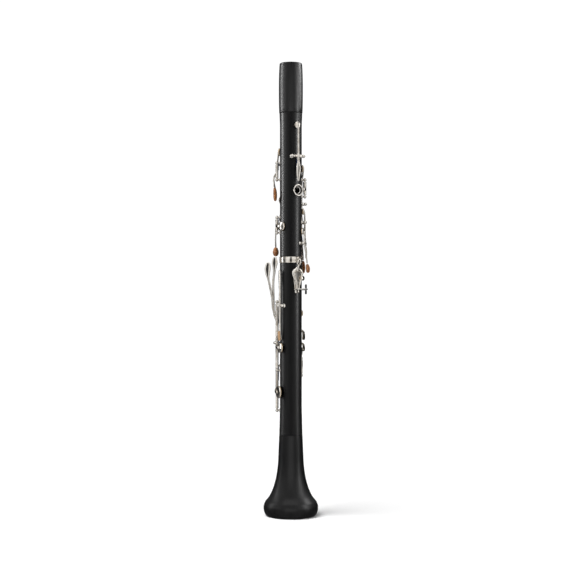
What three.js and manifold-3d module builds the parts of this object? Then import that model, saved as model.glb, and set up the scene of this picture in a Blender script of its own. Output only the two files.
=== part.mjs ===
// A B-flat soprano clarinet with Boehm keywork, standing on its bell, without its mouthpiece.
// Millimetres. +Z runs up the bore from the bell rim, the finger holes face -Y, the player's
// left hand side is +X and the thumb side is +Y. Angles round the bore are in degrees:
// 0 is the front, 90 the player's left, 180 the thumb side and -90 the player's right.
import * as THREE from "three";
import { mergeVertices } from "three/addons/utils/BufferGeometryUtils.js";
import Module from "manifold-3d";

const wasm = await Module();
wasm.setup();

// Driving dimensions of the wooden body.
const GAP = 0.3;
const BODY_SIDES = 24;
const BORE_RADIUS = 7.3;
const BODY_RADIUS = 14.4;
const TOTAL_LENGTH = 595;
const BARREL_FOOT = 529.4;
const JOINT_SPLIT = 340.6;
const BELL_SEAM = 106.4;
const BELL_RADIUS = 36;
const MOUTHPIECE_SOCKET = { radius: 11.1, depth: 17.5 };
const TOP_TENON = { radius: 11, length: 16 };
const MIDDLE_TENON = { radius: 12, length: 21.5 };
const BELL_TENON = { radius: 12.25, length: 21 };
const CORK_THICKNESS = 0.9;
const BORE_FLARE = { start: 180, footRadius: 9.6 };
const RING_HEIGHT = 8;

// Driving dimensions of the keywork.
const ROD_RADIUS = 1;
const TUBE_RADIUS = 2;
const TUBE_BORE = 1.35;
const BALL_RADIUS = 2.2;
const POST_RADIUS = 1.3;
const FLANGE_RADIUS = 2.5;
const FLANGE_HEIGHT = 0.6;
const POST_FOOT = BODY_RADIUS + GAP;
const KEY_RADIUS = 18.4;
const PAD_SEAT = 15;
const PAD_THICKNESS = 1.2;
const CUP_HEIGHT = 3;
const RING_OUTER = 7.8;
const RING_INNER = 6.1;
const RING_THICKNESS = 1.5;
const CHIMNEY_TOP = 16.6;

// Finger holes on the front and the thumb hole at the back: angle, height, hole radius.
const THUMB_HOLE = [180, 427, 4];
const RINGED_HOLES = [[0, 416, 3.5], [0, 392, 3.8], [0, 301, 4], [0, 278, 4.2], [0, 254, 4.4]];
const PLAIN_HOLE = [0, 360, 3.8];
const REGISTER_VENT = [180, 512, 1.6];

// Padded holes: angle, height and pad radius of each key's cup.
const PADS = {
  register_key: [180, 512, 4.5],
  throat_a_key: [8, 499, 5],
  throat_g_sharp_key: [32, 479, 5],
  upper_ring_key: [-22, 437, 4.5],
  middle_ring_key: [-20, 403.5, 3.6],
  side_key_1: [-69, 474, 4.8],
  side_key_2: [-97, 457, 4.8],
  side_key_3: [-112, 400, 4.2],
  side_key_4: [-136, 374, 4.5],
  cross_key: [-24, 374, 3.6],
  c_sharp_key: [98, 380, 6.2],
  lower_ring_key: [-6, 317, 5],
  fork_key: [-84, 266, 4.6],
  a_flat_key: [-18, 236, 6],
  f_sharp_key: [100, 221, 6.5],
  f_key: [-8, 190, 7.5],
  e_key: [92, 163, 8.2],
};

const radians = THREE.MathUtils.degToRad;
const UP = new THREE.Vector3(0, 0, 1);
const CENTRE = new THREE.Vector3();

// The point at an angle round the bore, a distance from its axis and a height.
function at(phi, rho, z) {
  return new THREE.Vector3(rho * Math.sin(radians(phi)), -rho * Math.cos(radians(phi)), z);
}

const outward = (phi) => at(phi, 1, 0);
const sideways = (phi) => at(phi + 90, 1, 0);

function solid(geometry) {
  const bare = geometry.index ? geometry.toNonIndexed() : geometry.clone();
  bare.deleteAttribute("normal");
  bare.deleteAttribute("uv");
  const merged = mergeVertices(bare, 1e-4);
  return new wasm.Manifold(
    new wasm.Mesh({
      numProp: 3,
      vertProperties: merged.attributes.position.array,
      triVerts: new Uint32Array(merged.index.array),
    }),
  );
}

const join = (pieces) => pieces.reduce((whole, piece) => whole.add(piece));
const cut = (whole, pieces) => pieces.reduce((rest, piece) => rest.subtract(piece), whole);

// A solid of revolution about `axis` through `foot`; the profile lists [radius, distance along].
function turned(profile, sides, foot = CENTRE, axis = UP) {
  const points = profile.map(([radius, along]) => new THREE.Vector2(radius, along));
  if (THREE.ShapeUtils.area(points) < 0) points.reverse();
  const geometry = new THREE.LatheGeometry(points, sides);
  const turn = new THREE.Quaternion().setFromUnitVectors(new THREE.Vector3(0, 1, 0), axis);
  geometry.applyQuaternion(turn).translate(foot.x, foot.y, foot.z);
  return solid(geometry);
}

// A straight round bar between two points.
function bar(from, to, radius, sides = 10) {
  const axis = to.clone().sub(from);
  const length = axis.length();
  const profile = [[0, 0], [radius, 0], [radius, length], [0, length]];
  return turned(profile, sides, from, axis.normalize());
}

// A bar of rectangular section through stations [phi, rho, z, width, thickness]. The thickness
// lies along `normal`, or outward from the bore, and the width lies across the path.
function strip(stations, normal = null) {
  const last = stations.length - 1;
  const centres = stations.map(([phi, rho, z]) => at(phi, rho, z));
  const square = new THREE.Shape(
    [[-1, -1], [1, -1], [1, 1], [-1, 1]].map(([x, y]) => new THREE.Vector2(x, y)),
  );
  const geometry = new THREE.ExtrudeGeometry(square, {
    depth: last,
    steps: last,
    bevelEnabled: false,
  });
  const position = geometry.attributes.position;
  for (let i = 0; i < position.count; i += 1) {
    const k = Math.round(position.getZ(i));
    const [phi, , , width, thickness] = stations[k];
    const before = centres[Math.max(k - 1, 0)];
    const forward = centres[Math.min(k + 1, last)].clone().sub(before).normalize();
    const thick = normal ?? outward(phi);
    const wide = new THREE.Vector3().crossVectors(thick, forward).normalize();
    const corner = centres[k].clone();
    corner.addScaledVector(wide, (position.getX(i) * width) / 2);
    corner.addScaledVector(thick, (position.getY(i) * thickness) / 2);
    position.setXYZ(i, corner.x, corner.y, corner.z);
  }
  return solid(geometry);
}

// ---- The wooden body, its corks, rings and tubes ----

// Outline of a tenon from its tip to its shoulder, with a groove for the cork.
function tenonOutline(tenon, tip, shoulder) {
  const way = Math.sign(shoulder - tip);
  const rim = tenon.radius - GAP;
  const groove = tenon.radius - GAP - CORK_THICKNESS;
  const grooveStart = tip + way * 2.5;
  const grooveEnd = shoulder - way * 3;
  return [
    [rim, tip],
    [rim, grooveStart],
    [groove, grooveStart],
    [groove, grooveEnd],
    [rim, grooveEnd],
    [rim, shoulder],
  ];
}

function corkSleeve(tenon, tip, shoulder) {
  const way = Math.sign(shoulder - tip);
  const inner = tenon.radius - CORK_THICKNESS;
  const start = tip + way * (2.5 + GAP);
  const end = shoulder - way * (3 + GAP);
  const outline = [[inner, start], [tenon.radius, start], [tenon.radius, end], [inner, end]];
  return turned([...outline, outline[0]], BODY_SIDES);
}

// A short round solid standing out from the bore axis between two radii.
function stub(phi, z, radius, inner, outer, sides = 10) {
  return bar(at(phi, inner, z), at(phi, outer, z), radius, sides);
}

function holeCuts(low, high) {
  const padded = Object.values(PADS).filter(([, z]) => z > low && z < high);
  const fingered = [...RINGED_HOLES, PLAIN_HOLE].filter(([, z]) => z > low && z < high);
  return [
    ...padded.map(([phi, z, radius]) => stub(phi, z, radius - 1.8, 4, 20, 8)),
    ...fingered.map(([phi, z, radius]) => stub(phi, z, radius, 4, 20)),
  ];
}

// The raised collars that the finger rings sink round.
function chimneys(low, high) {
  const ringed = RINGED_HOLES.filter(([, z]) => z > low && z < high);
  return ringed.map(([phi, z]) => stub(phi, z, RING_INNER - 0.7, 12, CHIMNEY_TOP));
}

function barrel() {
  const socketTop = TOTAL_LENGTH - MOUTHPIECE_SOCKET.depth;
  const socketFoot = BARREL_FOOT + TOP_TENON.length + GAP;
  const outline = [
    [MOUTHPIECE_SOCKET.radius, TOTAL_LENGTH],
    [14.1, TOTAL_LENGTH],
    [14.9, 593.6],
    [15.4, 586],
    [15.8, 574],
    [15.86, 559],
    [15.7, 542],
    [15.3, BARREL_FOOT],
    [TOP_TENON.radius + GAP, BARREL_FOOT],
    [TOP_TENON.radius + GAP, socketFoot],
    [BORE_RADIUS, socketFoot],
    [BORE_RADIUS, socketTop],
    [MOUTHPIECE_SOCKET.radius, socketTop],
  ];
  return turned([...outline, outline[0]], BODY_SIDES);
}

function upperJoint() {
  const shoulder = BARREL_FOOT - GAP;
  const top = shoulder + TOP_TENON.length;
  const foot = JOINT_SPLIT - MIDDLE_TENON.length;
  const outline = [
    [BORE_RADIUS, foot],
    ...tenonOutline(MIDDLE_TENON, foot, JOINT_SPLIT),
    [BODY_RADIUS, JOINT_SPLIT],
    [BODY_RADIUS, 514],
    [15.1, shoulder],
    ...tenonOutline(TOP_TENON, top, shoulder).reverse(),
    [BORE_RADIUS, top],
  ];
  const wood = turned([...outline, outline[0]], BODY_SIDES);
  const whole = join([wood, ...chimneys(JOINT_SPLIT, BARREL_FOOT)]);
  const [phi, z] = THUMB_HOLE;
  const vents = [stub(phi, z, 5.5 + GAP, 4, 20), stub(180, REGISTER_VENT[1], 3 + GAP, 4, 20)];
  return cut(whole, [...holeCuts(JOINT_SPLIT, BARREL_FOOT), ...vents, bore(foot - 1, top + 1)]);
}

const bore = (low, high) => bar(at(0, 0, low), at(0, 0, high), BORE_RADIUS, BODY_SIDES);

function lowerJoint() {
  const top = JOINT_SPLIT - GAP;
  const socketFoot = JOINT_SPLIT - MIDDLE_TENON.length - GAP;
  const tip = BELL_SEAM - BELL_TENON.length;
  const ringSeat = BODY_RADIUS - 0.6;
  const outline = [
    [BORE_FLARE.footRadius, tip],
    ...tenonOutline(BELL_TENON, tip, BELL_SEAM),
    [15.3, BELL_SEAM],
    [14.95, 119],
    [14.6, 135],
    [BODY_RADIUS, 146],
    [BODY_RADIUS, top - RING_HEIGHT - GAP],
    [ringSeat, top - RING_HEIGHT - GAP],
    [ringSeat, top],
    [MIDDLE_TENON.radius + GAP, top],
    [MIDDLE_TENON.radius + GAP, socketFoot],
    [BORE_RADIUS, socketFoot],
    [BORE_RADIUS, BORE_FLARE.start],
  ];
  const wood = turned([...outline, outline[0]], BODY_SIDES);
  const boreOutline = [
    [0, tip - 1],
    [BORE_FLARE.footRadius, tip - 1],
    [BORE_FLARE.footRadius, tip],
    [BORE_RADIUS, BORE_FLARE.start],
    [BORE_RADIUS, socketFoot - 1],
    [0, socketFoot - 1],
  ];
  const whole = join([wood, ...chimneys(BELL_SEAM, JOINT_SPLIT)]);
  return cut(whole, [...holeCuts(BELL_SEAM, JOINT_SPLIT), turned(boreOutline, BODY_SIDES)]);
}

function socketRing() {
  const top = JOINT_SPLIT - GAP;
  const inner = BODY_RADIUS - 0.6 + GAP;
  const foot = top - RING_HEIGHT;
  const outline = [
    [inner, foot],
    [15, foot],
    [15.2, foot + 1],
    [15.2, top - 1],
    [15, top],
    [inner, top],
  ];
  return turned([...outline, outline[0]], BODY_SIDES);
}

function bell() {
  const top = BELL_SEAM - GAP;
  const socketFoot = BELL_SEAM - BELL_TENON.length - GAP;
  const outline = [
    [31.4, 0],
    [32.6, 0],
    [34.6, 2.6],
    [35.7, 7],
    [BELL_RADIUS, 11],
    [35.3, 15],
    [33.4, 19],
    [30, 23],
    [25.4, 31],
    [21.4, 43],
    [18.7, 55],
    [16.9, 71],
    [15.35, top],
    [BELL_TENON.radius + GAP, top],
    [BELL_TENON.radius + GAP, socketFoot],
    [10, socketFoot],
    [12, 60],
    [16, 40],
    [22.4, 22],
    [28.6, 10],
  ];
  return turned([...outline, outline[0]], BODY_SIDES);
}

// A metal tube standing in a hole of the upper joint, with an opening of its own.
function ventTube([phi, z, opening], radius, top) {
  return cut(stub(phi, z, radius, 8, top), [stub(phi, z, opening, 7, top + 1)]);
}

// ---- Pivots: axial rods run along the body, cross rods lie across it ----

// [angle, radius, post heights] of each rod that runs along the body.
const AXIAL_RODS = {
  thumb_ring: [-123, KEY_RADIUS, [419.5, 441.5]],
  throat_g_sharp: [57, KEY_RADIUS, [442, 464]],
  upper_stack: [-42, KEY_RADIUS, [347, 406, 452]],
  cross: [-6, KEY_RADIUS, [366.8, 379.2]],
  c_sharp: [62, KEY_RADIUS, [372, 392]],
  lower_stack: [-38, KEY_RADIUS, [249.5, 325]],
  fork: [-58, KEY_RADIUS, [257.5, 274.5]],
  right_pinky: [-54, KEY_RADIUS, [211.5, 246.5]],
  f: [-80, KEY_RADIUS, [183.5, 206]],
  left_e: [51, KEY_RADIUS, [138, 197, 273.5]],
  left_f_sharp: [66, KEY_RADIUS, [191, 233, 281]],
};

// [angle, radius, height, distances of the posts along the rod] of each rod across the body.
const CROSS_RODS = {
  register: [180, 17.6, 471.5, [-8.7, 8.7]],
  throat_a: [8, 17.8, 463, [-5.5, 5.5]],
  trill: [-74, 18, 410.2, [-9.4, 5.6]],
  side_3: [-110, 18.1, 385.5, [-5.5, 5.5]],
  side_4: [-136, 18.1, 358, [-5.5, 5.5]],
  left_f: [96, 17.6, 276, [-4.4, 4.4]],
};

// A post with a round foot and a ball head, standing out from the body under its head's centre.
function post(head) {
  const away = new THREE.Vector3(head.x, head.y, 0);
  const height = away.length() - POST_FOOT;
  away.normalize();
  const foot = away.clone().multiplyScalar(POST_FOOT).setZ(head.z);
  const profile = [
    [0, 0],
    [FLANGE_RADIUS, 0],
    [FLANGE_RADIUS, FLANGE_HEIGHT],
    [POST_RADIUS, FLANGE_HEIGHT],
    [POST_RADIUS, height - BALL_RADIUS * 0.8],
    [BALL_RADIUS, height - BALL_RADIUS * 0.4],
    [BALL_RADIUS, height + BALL_RADIUS * 0.4],
    [POST_RADIUS, height + BALL_RADIUS * 0.9],
    [0, height + BALL_RADIUS * 0.9],
  ];
  return turned(profile, 6, foot, away);
}

function axleBetween(heads) {
  return join([bar(heads[0], heads.at(-1), ROD_RADIUS, 6), ...heads.map(post)]);
}

const axialAxle = ([phi, rho, heights]) => axleBetween(heights.map((z) => at(phi, rho, z)));

// The point a distance `aside` along a cross rod from its middle.
function onCrossRod([phi, rho, z], aside) {
  return at(phi, rho, z).addScaledVector(sideways(phi), aside);
}

const crossAxle = (rod) => axleBetween(rod[3].map((aside) => onCrossRod(rod, aside)));

// ---- Key pieces ----

// A key that turns on an axial rod: its tube between two heights, with the pieces joined to it.
function axialKey([phi, rho], low, high, pieces) {
  const tube = bar(at(phi, rho, low), at(phi, rho, high), TUBE_RADIUS, 8);
  const clear = bar(at(phi, rho, low - 9), at(phi, rho, high + 9), TUBE_BORE, 8);
  return cut(join([tube, ...pieces]), [clear]);
}

// A key that turns on a cross rod, with its tube between two distances along the rod.
function crossKey(rod, from, to, pieces) {
  const tube = bar(onCrossRod(rod, from), onCrossRod(rod, to), TUBE_RADIUS, 8);
  const clear = bar(onCrossRod(rod, -15), onCrossRod(rod, 15), TUBE_BORE, 8);
  return cut(join([tube, ...pieces]), [clear]);
}

// A key's padded cup over its tone hole, shut.
function cup(key, seat = PAD_SEAT + GAP) {
  const [phi, z, radius] = PADS[key];
  const profile = [
    [0, 0],
    [radius - 0.5, 0],
    [radius - 0.4, PAD_THICKNESS],
    [radius, PAD_THICKNESS],
    [radius, PAD_THICKNESS + 0.8],
    [radius * 0.72, CUP_HEIGHT],
    [0, CUP_HEIGHT + 0.4],
  ];
  return turned(profile, 12, at(phi, seat, z), outward(phi));
}

// The ring round a finger hole, pressed down.
function fingerRing([phi, z]) {
  const outline = [
    [RING_INNER, 0],
    [RING_OUTER, 0],
    [RING_OUTER, RING_THICKNESS],
    [RING_INNER, RING_THICKNESS],
  ];
  return turned([...outline, outline[0]], 16, at(phi, POST_FOOT + 0.6, z), outward(phi));
}

// Turns a piece about an axial rod; positive is from the front towards the player's left.
function turnedOpen(piece, [phi, rho], degrees) {
  const pivot = at(phi, rho, 0);
  const turn = new THREE.Matrix4().makeTranslation(pivot.x, pivot.y, 0);
  turn.multiply(new THREE.Matrix4().makeRotationZ(radians(degrees)));
  turn.multiply(new THREE.Matrix4().makeTranslation(-pivot.x, -pivot.y, 0));
  return piece.transform(turn.elements);
}

// How far each open-standing key stands from its shut place, in degrees.
const OPEN = {
  thumb_ring: -6.5,
  upper_ring: 8.5,
  middle_ring: 8.5,
  lower_ring: 9,
  f: 6.1,
  e: 12.5,
  f_sharp: 13,
};

// ---- Keys of the upper joint ----

function registerKey() {
  const lever = strip([
    [180, 18.9, 438, 2.6, 1.4],
    [180, 19.1, 441, 5.8, 1.7],
    [180, 19.3, 448, 7.5, 1.8],
    [180, 19.6, 457, 5.6, 1.9],
    [180, 19.6, 464, 3.8, 2.2],
    [180, 19.2, 471.5, 4, 3.2],
    [180, 19.4, 480, 3.4, 2.2],
    [180, 19.2, 500, 3, 2],
    [180, 19.1, 514, 3, 1.8],
  ]);
  return crossKey(CROSS_RODS.register, -6, 6, [lever, cup("register_key", 16.5)]);
}

function thumbRingKey() {
  const rod = AXIAL_RODS.thumb_ring;
  const arm = strip([
    [-123, 18.9, 430, 7, 2],
    [-136, 19.4, 429.4, 4.6, 1.8],
    [-148, 18.8, 428.4, 4, 1.7],
    [-157, 17.5, 427.6, 4.6, 1.4],
  ]);
  const ring = fingerRing(THUMB_HOLE);
  return turnedOpen(axialKey(rod, 422.1, 438.9, [arm, ring]), rod, -OPEN.thumb_ring);
}

function throatAKey() {
  const lever = strip([
    [8, 19, 430.6, 3.6, 1.4],
    [8, 19.2, 436, 6, 1.7],
    [8, 19.2, 444, 4.6, 1.8],
    [8, 19, 454, 3.2, 2],
    [8, 18.6, 463, 3.6, 3],
    [8, 18.7, 475, 3, 2],
    [8, 18.4, 499, 3, 1.8],
  ]);
  return crossKey(CROSS_RODS.throat_a, -2.8, 2.8, [lever, cup("throat_a_key")]);
}

function throatGSharpKey() {
  const padArm = strip([
    [57, 18.9, 456, 5, 2],
    [46, 19, 459.5, 4, 1.8],
    [37, 18.8, 468, 3.4, 1.8],
    [32, 18.4, 479, 3, 1.8],
  ]);
  const touchArm = strip(
    [
      [59, 19.6, 450, 3, 1.6],
      [66, 22.6, 444, 2.6, 1.6],
      [68, 22.4, 437, 3, 1.6],
      [68, 21.6, 431.5, 4, 1.6],
    ],
    sideways(115),
  );
  const pieces = [padArm, touchArm, cup("throat_g_sharp_key")];
  return axialKey(AXIAL_RODS.throat_g_sharp, 444.6, 461.4, pieces);
}

function throatGSharpTouch() {
  return strip(
    [
      [68, 21.4, 431, 4.6, 2.6],
      [68, 21, 426, 6.6, 3.2],
      [68, 20.8, 418, 6.4, 3],
      [68, 20.8, 413.4, 3.4, 2],
    ],
    sideways(115),
  );
}

// An arm from an axial rod to the ring or cup in front of it.
function frontArm([rodPhi], z, ringZ, reach = 14.4) {
  return strip([
    [rodPhi, 18.9, z, 5.4, 2],
    [rodPhi + 8, 19, (z + ringZ) / 2, 4, 1.8],
    [rodPhi + reach + 4, 17.7, ringZ, 4.4, 1.4],
  ]);
}

function upperRingKey() {
  const rod = AXIAL_RODS.upper_stack;
  const [padPhi, padZ] = PADS.upper_ring_key;
  const padArm = strip([
    [-42, 18.9, 440, 5, 2],
    [-33, 19, 439, 3.8, 1.8],
    [padPhi, 18.3, padZ, 3, 1.6],
  ]);
  const ring = fingerRing(RINGED_HOLES[0]);
  const pieces = [padArm, ring, frontArm(rod, 419, 417), cup("upper_ring_key")];
  return turnedOpen(axialKey(rod, 408.6, 449.4, pieces), rod, -OPEN.upper_ring);
}

function middleRingKey() {
  const rod = AXIAL_RODS.upper_stack;
  const [padPhi, padZ] = PADS.middle_ring_key;
  const padArm = strip([
    [-42, 18.9, 401, 4, 2],
    [-32, 19, 402, 3.4, 1.8],
    [padPhi, 18.2, padZ, 3, 1.6],
  ]);
  const bridge = strip([
    [-42, 19.6, 355, 3.4, 2],
    [-42, 22, 351, 3.4, 1.6],
    [-42, 22.6, 342, 3.4, 1.5],
    [-40, 23.4, 333, 4, 1.4],
  ]);
  const ring = fingerRing(RINGED_HOLES[1]);
  const pieces = [padArm, bridge, ring, frontArm(rod, 390, 391), cup("middle_ring_key")];
  return turnedOpen(axialKey(rod, 349.6, 403.4, pieces), rod, -OPEN.middle_ring);
}

function crossPaddedKey() {
  const [padPhi, padZ] = PADS.cross_key;
  const arm = strip([
    [padPhi, 18.4, padZ, 3, 1.6],
    [-14, 19, padZ - 0.5, 3.6, 1.8],
    [-6, 19, 373.5, 4.4, 2],
  ]);
  const touch = strip([
    [-6, 19, 373.5, 4.4, 2],
    [6, 19.8, 373.4, 4, 1.6],
    [17, 18.8, 373.8, 6, 1.5],
    [24, 17.8, 374, 4.6, 1.3],
  ]);
  return axialKey(AXIAL_RODS.cross, 369.4, 376.6, [arm, touch, cup("cross_key")]);
}

function cSharpKey() {
  const arm = strip([
    [62, 18.9, 382, 7, 2],
    [73, 19.4, 381, 5, 1.8],
    [86, 19, 380.2, 4, 1.7],
    [98, 18.4, 380, 3.2, 1.6],
  ]);
  const touchArm = strip([
    [62, 19, 378, 6, 2],
    [52, 20, 377, 4, 1.8],
    [46, 20.6, 371, 3.2, 1.8],
    [44, 21, 362, 3, 1.8],
    [42, 21, 353.2, 5, 1.6],
  ]);
  return axialKey(AXIAL_RODS.c_sharp, 374.6, 389.4, [arm, touchArm, cup("c_sharp_key")]);
}

function cSharpTouch() {
  return strip([
    [42, 21, 352.8, 8, 3.4],
    [41, 21.2, 350, 13, 4.8],
    [40, 21, 345.4, 15, 4.6],
    [40, 20.6, 342, 11, 3],
  ]);
}

// The side keys' levers from the pad down to the wooden touch, and where each lever's tube
// lies along its cross rod.
const SIDE_KEYS = {
  side_key_1: {
    rod: CROSS_RODS.trill,
    tube: [0.1, 3.1],
    lever: [
      [-69, 18.2, 474, 3, 1.6],
      [-69, 18.6, 464, 2.8, 1.8],
      [-69, 18.6, 410.2, 2.8, 2.4],
      [-68, 18.6, 370, 2.8, 1.8],
      [-67, 20, 355, 4, 1.6],
    ],
    touch: [[-67, 20.2, 354.4, 5.4, 2.2], [-66, 21, 346, 7.4, 2.8], [-66, 20.6, 338, 6.4, 2]],
  },
  side_key_2: {
    rod: CROSS_RODS.trill,
    tube: [-6.6, -0.4],
    lever: [
      [-97, 18.2, 457, 3, 1.6],
      [-88, 18.8, 449, 3, 1.8],
      [-81, 18.6, 438, 2.8, 1.8],
      [-80.5, 18.6, 410.2, 2.8, 2.4],
      [-80.5, 18.6, 370, 2.8, 1.8],
      [-83, 19.6, 352, 2.8, 1.8],
      [-83, 20.4, 336, 3.4, 1.6],
    ],
    touch: [[-83, 20.6, 335.4, 5.4, 2.2], [-82, 21.4, 327, 7.4, 2.8], [-82, 21, 319, 6.4, 2]],
  },
  side_key_3: {
    rod: CROSS_RODS.side_3,
    tube: [-2.7, 2.7],
    lever: [
      [-112, 18.2, 400, 3.4, 1.6],
      [-110, 18.8, 385.5, 3.6, 2.6],
      [-106, 19.4, 371, 3, 1.8],
      [-105, 20.6, 355, 4, 1.6],
    ],
    touch: [[-105, 20.8, 354.4, 5, 1.8], [-105, 21.2, 346, 6, 1.8], [-105, 21, 338, 5.2, 1.6]],
  },
  side_key_4: {
    rod: CROSS_RODS.side_4,
    tube: [-2.7, 2.7],
    lever: [
      [-136, 18.2, 374, 3.4, 1.6],
      [-136, 18.8, 358, 3.6, 2.6],
      [-129, 20.2, 344, 3, 1.8],
      [-124, 21.4, 331.6, 3.4, 1.6],
    ],
    touch: [[-124, 21.6, 331, 5, 2.4], [-122, 22.8, 325, 7.2, 3], [-121, 23, 318.6, 6, 2.4]],
  },
};

// The one side key whose touch is metal instead of wood.
const METAL_TOUCHED = "side_key_3";

function sideKey(name) {
  const { rod, tube, lever } = SIDE_KEYS[name];
  return crossKey(rod, tube[0], tube[1], [strip(lever), cup(name)]);
}

// ---- Keys of the lower joint ----

function lowerRingKey() {
  const rod = AXIAL_RODS.lower_stack;
  const [padPhi, padZ] = PADS.lower_ring_key;
  const rings = RINGED_HOLES.slice(2);
  const padArm = strip([
    [-38, 18.9, 315, 5, 2],
    [-24, 19.2, 316, 4, 1.8],
    [padPhi, 18.5, padZ, 3, 1.6],
  ]);
  const bridge = strip([
    [-38, 19.6, 317, 3.4, 2],
    [-38, 22, 320.6, 3.4, 1.6],
    [-38, 22, 330, 3.4, 1.5],
    [-38, 20.6, 335, 4, 1.4],
  ]);
  const pieces = rings.flatMap(([phi, z]) => [
    fingerRing([phi, z]),
    frontArm(rod, z + 2, z + 0.6, 10.4),
  ]);
  const key = axialKey(rod, 252.1, 322.4, [padArm, bridge, cup("lower_ring_key"), ...pieces]);
  return turnedOpen(key, rod, -OPEN.lower_ring);
}

function forkKey() {
  const arm = strip([[-84, 18.4, 266, 3.2, 1.6], [-70, 19, 266, 4, 1.8], [-58, 19, 266, 5, 2]]);
  const touch = strip([
    [-58, 19.4, 266, 5, 2],
    [-50, 21.8, 266, 4.4, 1.6],
    [-40, 23.2, 266, 4.4, 1.6],
    [-29, 22, 266, 5, 1.6],
    [-21, 20, 266, 5.2, 1.5],
  ]);
  return axialKey(AXIAL_RODS.fork, 260.1, 271.9, [arm, touch, cup("fork_key")]);
}

function aFlatKey() {
  const arm = strip([
    [-54, 19, 241.6, 4.4, 2],
    [-43, 19.8, 240, 3.6, 1.8],
    [-30, 19, 237.4, 3.4, 1.8],
    [-18, 18.4, 236, 3, 1.6],
  ]);
  const touch = strip([
    [-54, 19.4, 241.6, 4, 2],
    [-66, 21, 242.8, 3, 1.6],
    [-78, 20.8, 242.4, 3.4, 1.6],
    [-88, 20.2, 238.4, 6.4, 1.6],
    [-89.5, 19.8, 232, 7.4, 1.6],
    [-89.5, 19.4, 229.6, 6, 1.3],
  ]);
  return axialKey(AXIAL_RODS.right_pinky, 239.3, 243.9, [arm, touch, cup("a_flat_key")]);
}

// The arm of a right hand pinky key across the front, ending under the left hand key's foot.
function frontCrossing(z, startZ, end) {
  return strip([
    [-54, 18, startZ, 5, 2],
    [-45, 17, (z + startZ) / 2, 3.8, 1.8],
    [-34, 16.3, z, 3, 1.4],
    [-17, 16.2, z, 3, 1.4],
    [0, 16.2, z, 3, 1.4],
    [17, 16.2, z, 3, 1.4],
    [end, 16.2, z, 3, 1.4],
  ]);
}

function rightFSharpKey() {
  const touch = strip([
    [-54, 19.4, 234, 8.6, 1.6],
    [-61, 20.4, 234.4, 9.6, 1.6],
    [-68, 20.4, 234.6, 9.8, 1.6],
    [-73.5, 19.9, 234.6, 8.4, 1.3],
  ]);
  return axialKey(AXIAL_RODS.right_pinky, 228.2, 238.7, [touch, frontCrossing(227, 231.4, 40)]);
}

function rightEKey() {
  const touch = strip([
    [-54, 19.4, 223.6, 3, 1.6],
    [-66, 21, 225.6, 2.6, 1.6],
    [-78, 20.8, 225.4, 3, 1.6],
    [-88, 20.2, 222.4, 5.6, 1.6],
    [-90, 19.8, 217.6, 6.4, 1.6],
    [-90, 19.4, 214.6, 5.4, 1.3],
  ]);
  return axialKey(AXIAL_RODS.right_pinky, 214.1, 225.5, [touch, frontCrossing(217.4, 219.4, 33)]);
}

function fKey() {
  const rod = AXIAL_RODS.f;
  const padArm = strip([
    [-80, 18.9, 190, 6, 2],
    [-66, 18.9, 190, 4.6, 1.8],
    [-50, 18.2, 190, 4, 1.8],
    [-28, 18.4, 190, 4, 1.8],
    [-8, 18.5, 190, 4, 1.7],
  ]);
  const touch = strip([
    [-80, 19.2, 196, 5, 2],
    [-73, 20.6, 198, 4, 1.7],
    [-67, 20.8, 206, 3.2, 1.6],
    [-70, 20.8, 211.4, 5, 1.6],
    [-69.5, 20.8, 216, 6, 1.6],
    [-69.5, 20.8, 221.4, 5, 1.3],
  ]);
  return turnedOpen(axialKey(rod, 186.1, 203.4, [padArm, touch, cup("f_key")]), rod, -OPEN.f);
}

function eKey() {
  const rod = AXIAL_RODS.left_e;
  const arm = strip([
    [51, 18.9, 165, 8, 2],
    [64, 19.6, 164, 6, 1.8],
    [78, 19.2, 163.2, 5, 1.8],
    [92, 18.6, 163, 4, 1.6],
  ]);
  return turnedOpen(axialKey(rod, 140.6, 194.4, [arm, cup("e_key")]), rod, -OPEN.e);
}

function fSharpKey() {
  const rod = AXIAL_RODS.left_f_sharp;
  const arm = strip([[66, 18.9, 223, 6, 2], [79, 19.6, 222, 5, 1.8], [100, 18.6, 221, 4, 1.6]]);
  const foot = strip([
    [66, 19.2, 227, 4, 2],
    [60, 22, 227, 3.6, 1.6],
    [51, 23.8, 227, 3.6, 1.6],
    [43, 23, 227, 3.6, 1.6],
    [36, 21, 227, 3.6, 1.5],
  ]);
  return turnedOpen(axialKey(rod, 193.6, 230.4, [arm, foot, cup("f_sharp_key")]), rod, -OPEN.f_sharp);
}

function leftELever() {
  const rod = AXIAL_RODS.left_e;
  const head = strip(
    [
      [52, 19.4, 256, 3, 1.8],
      [53, 22.6, 267, 3, 1.8],
      [55, 22.9, 284, 3, 1.8],
      [62, 22.6, 306, 3, 1.8],
      [66, 20.8, 318, 3.4, 1.8],
      [66, 20.4, 323, 7, 1.7],
      [66, 20.4, 333, 7.8, 1.7],
      [66, 20.2, 341.6, 5.2, 1.5],
    ],
    sideways(64),
  );
  const foot = strip([
    [51, 19, 217.4, 4, 2],
    [44, 20.2, 217.4, 3.6, 1.6],
    [36, 20.6, 217.4, 3.6, 1.6],
    [28, 20, 217.4, 3.6, 1.5],
  ]);
  return turnedOpen(axialKey(rod, 199.6, 270.9, [head, foot]), rod, -OPEN.e);
}

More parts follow.
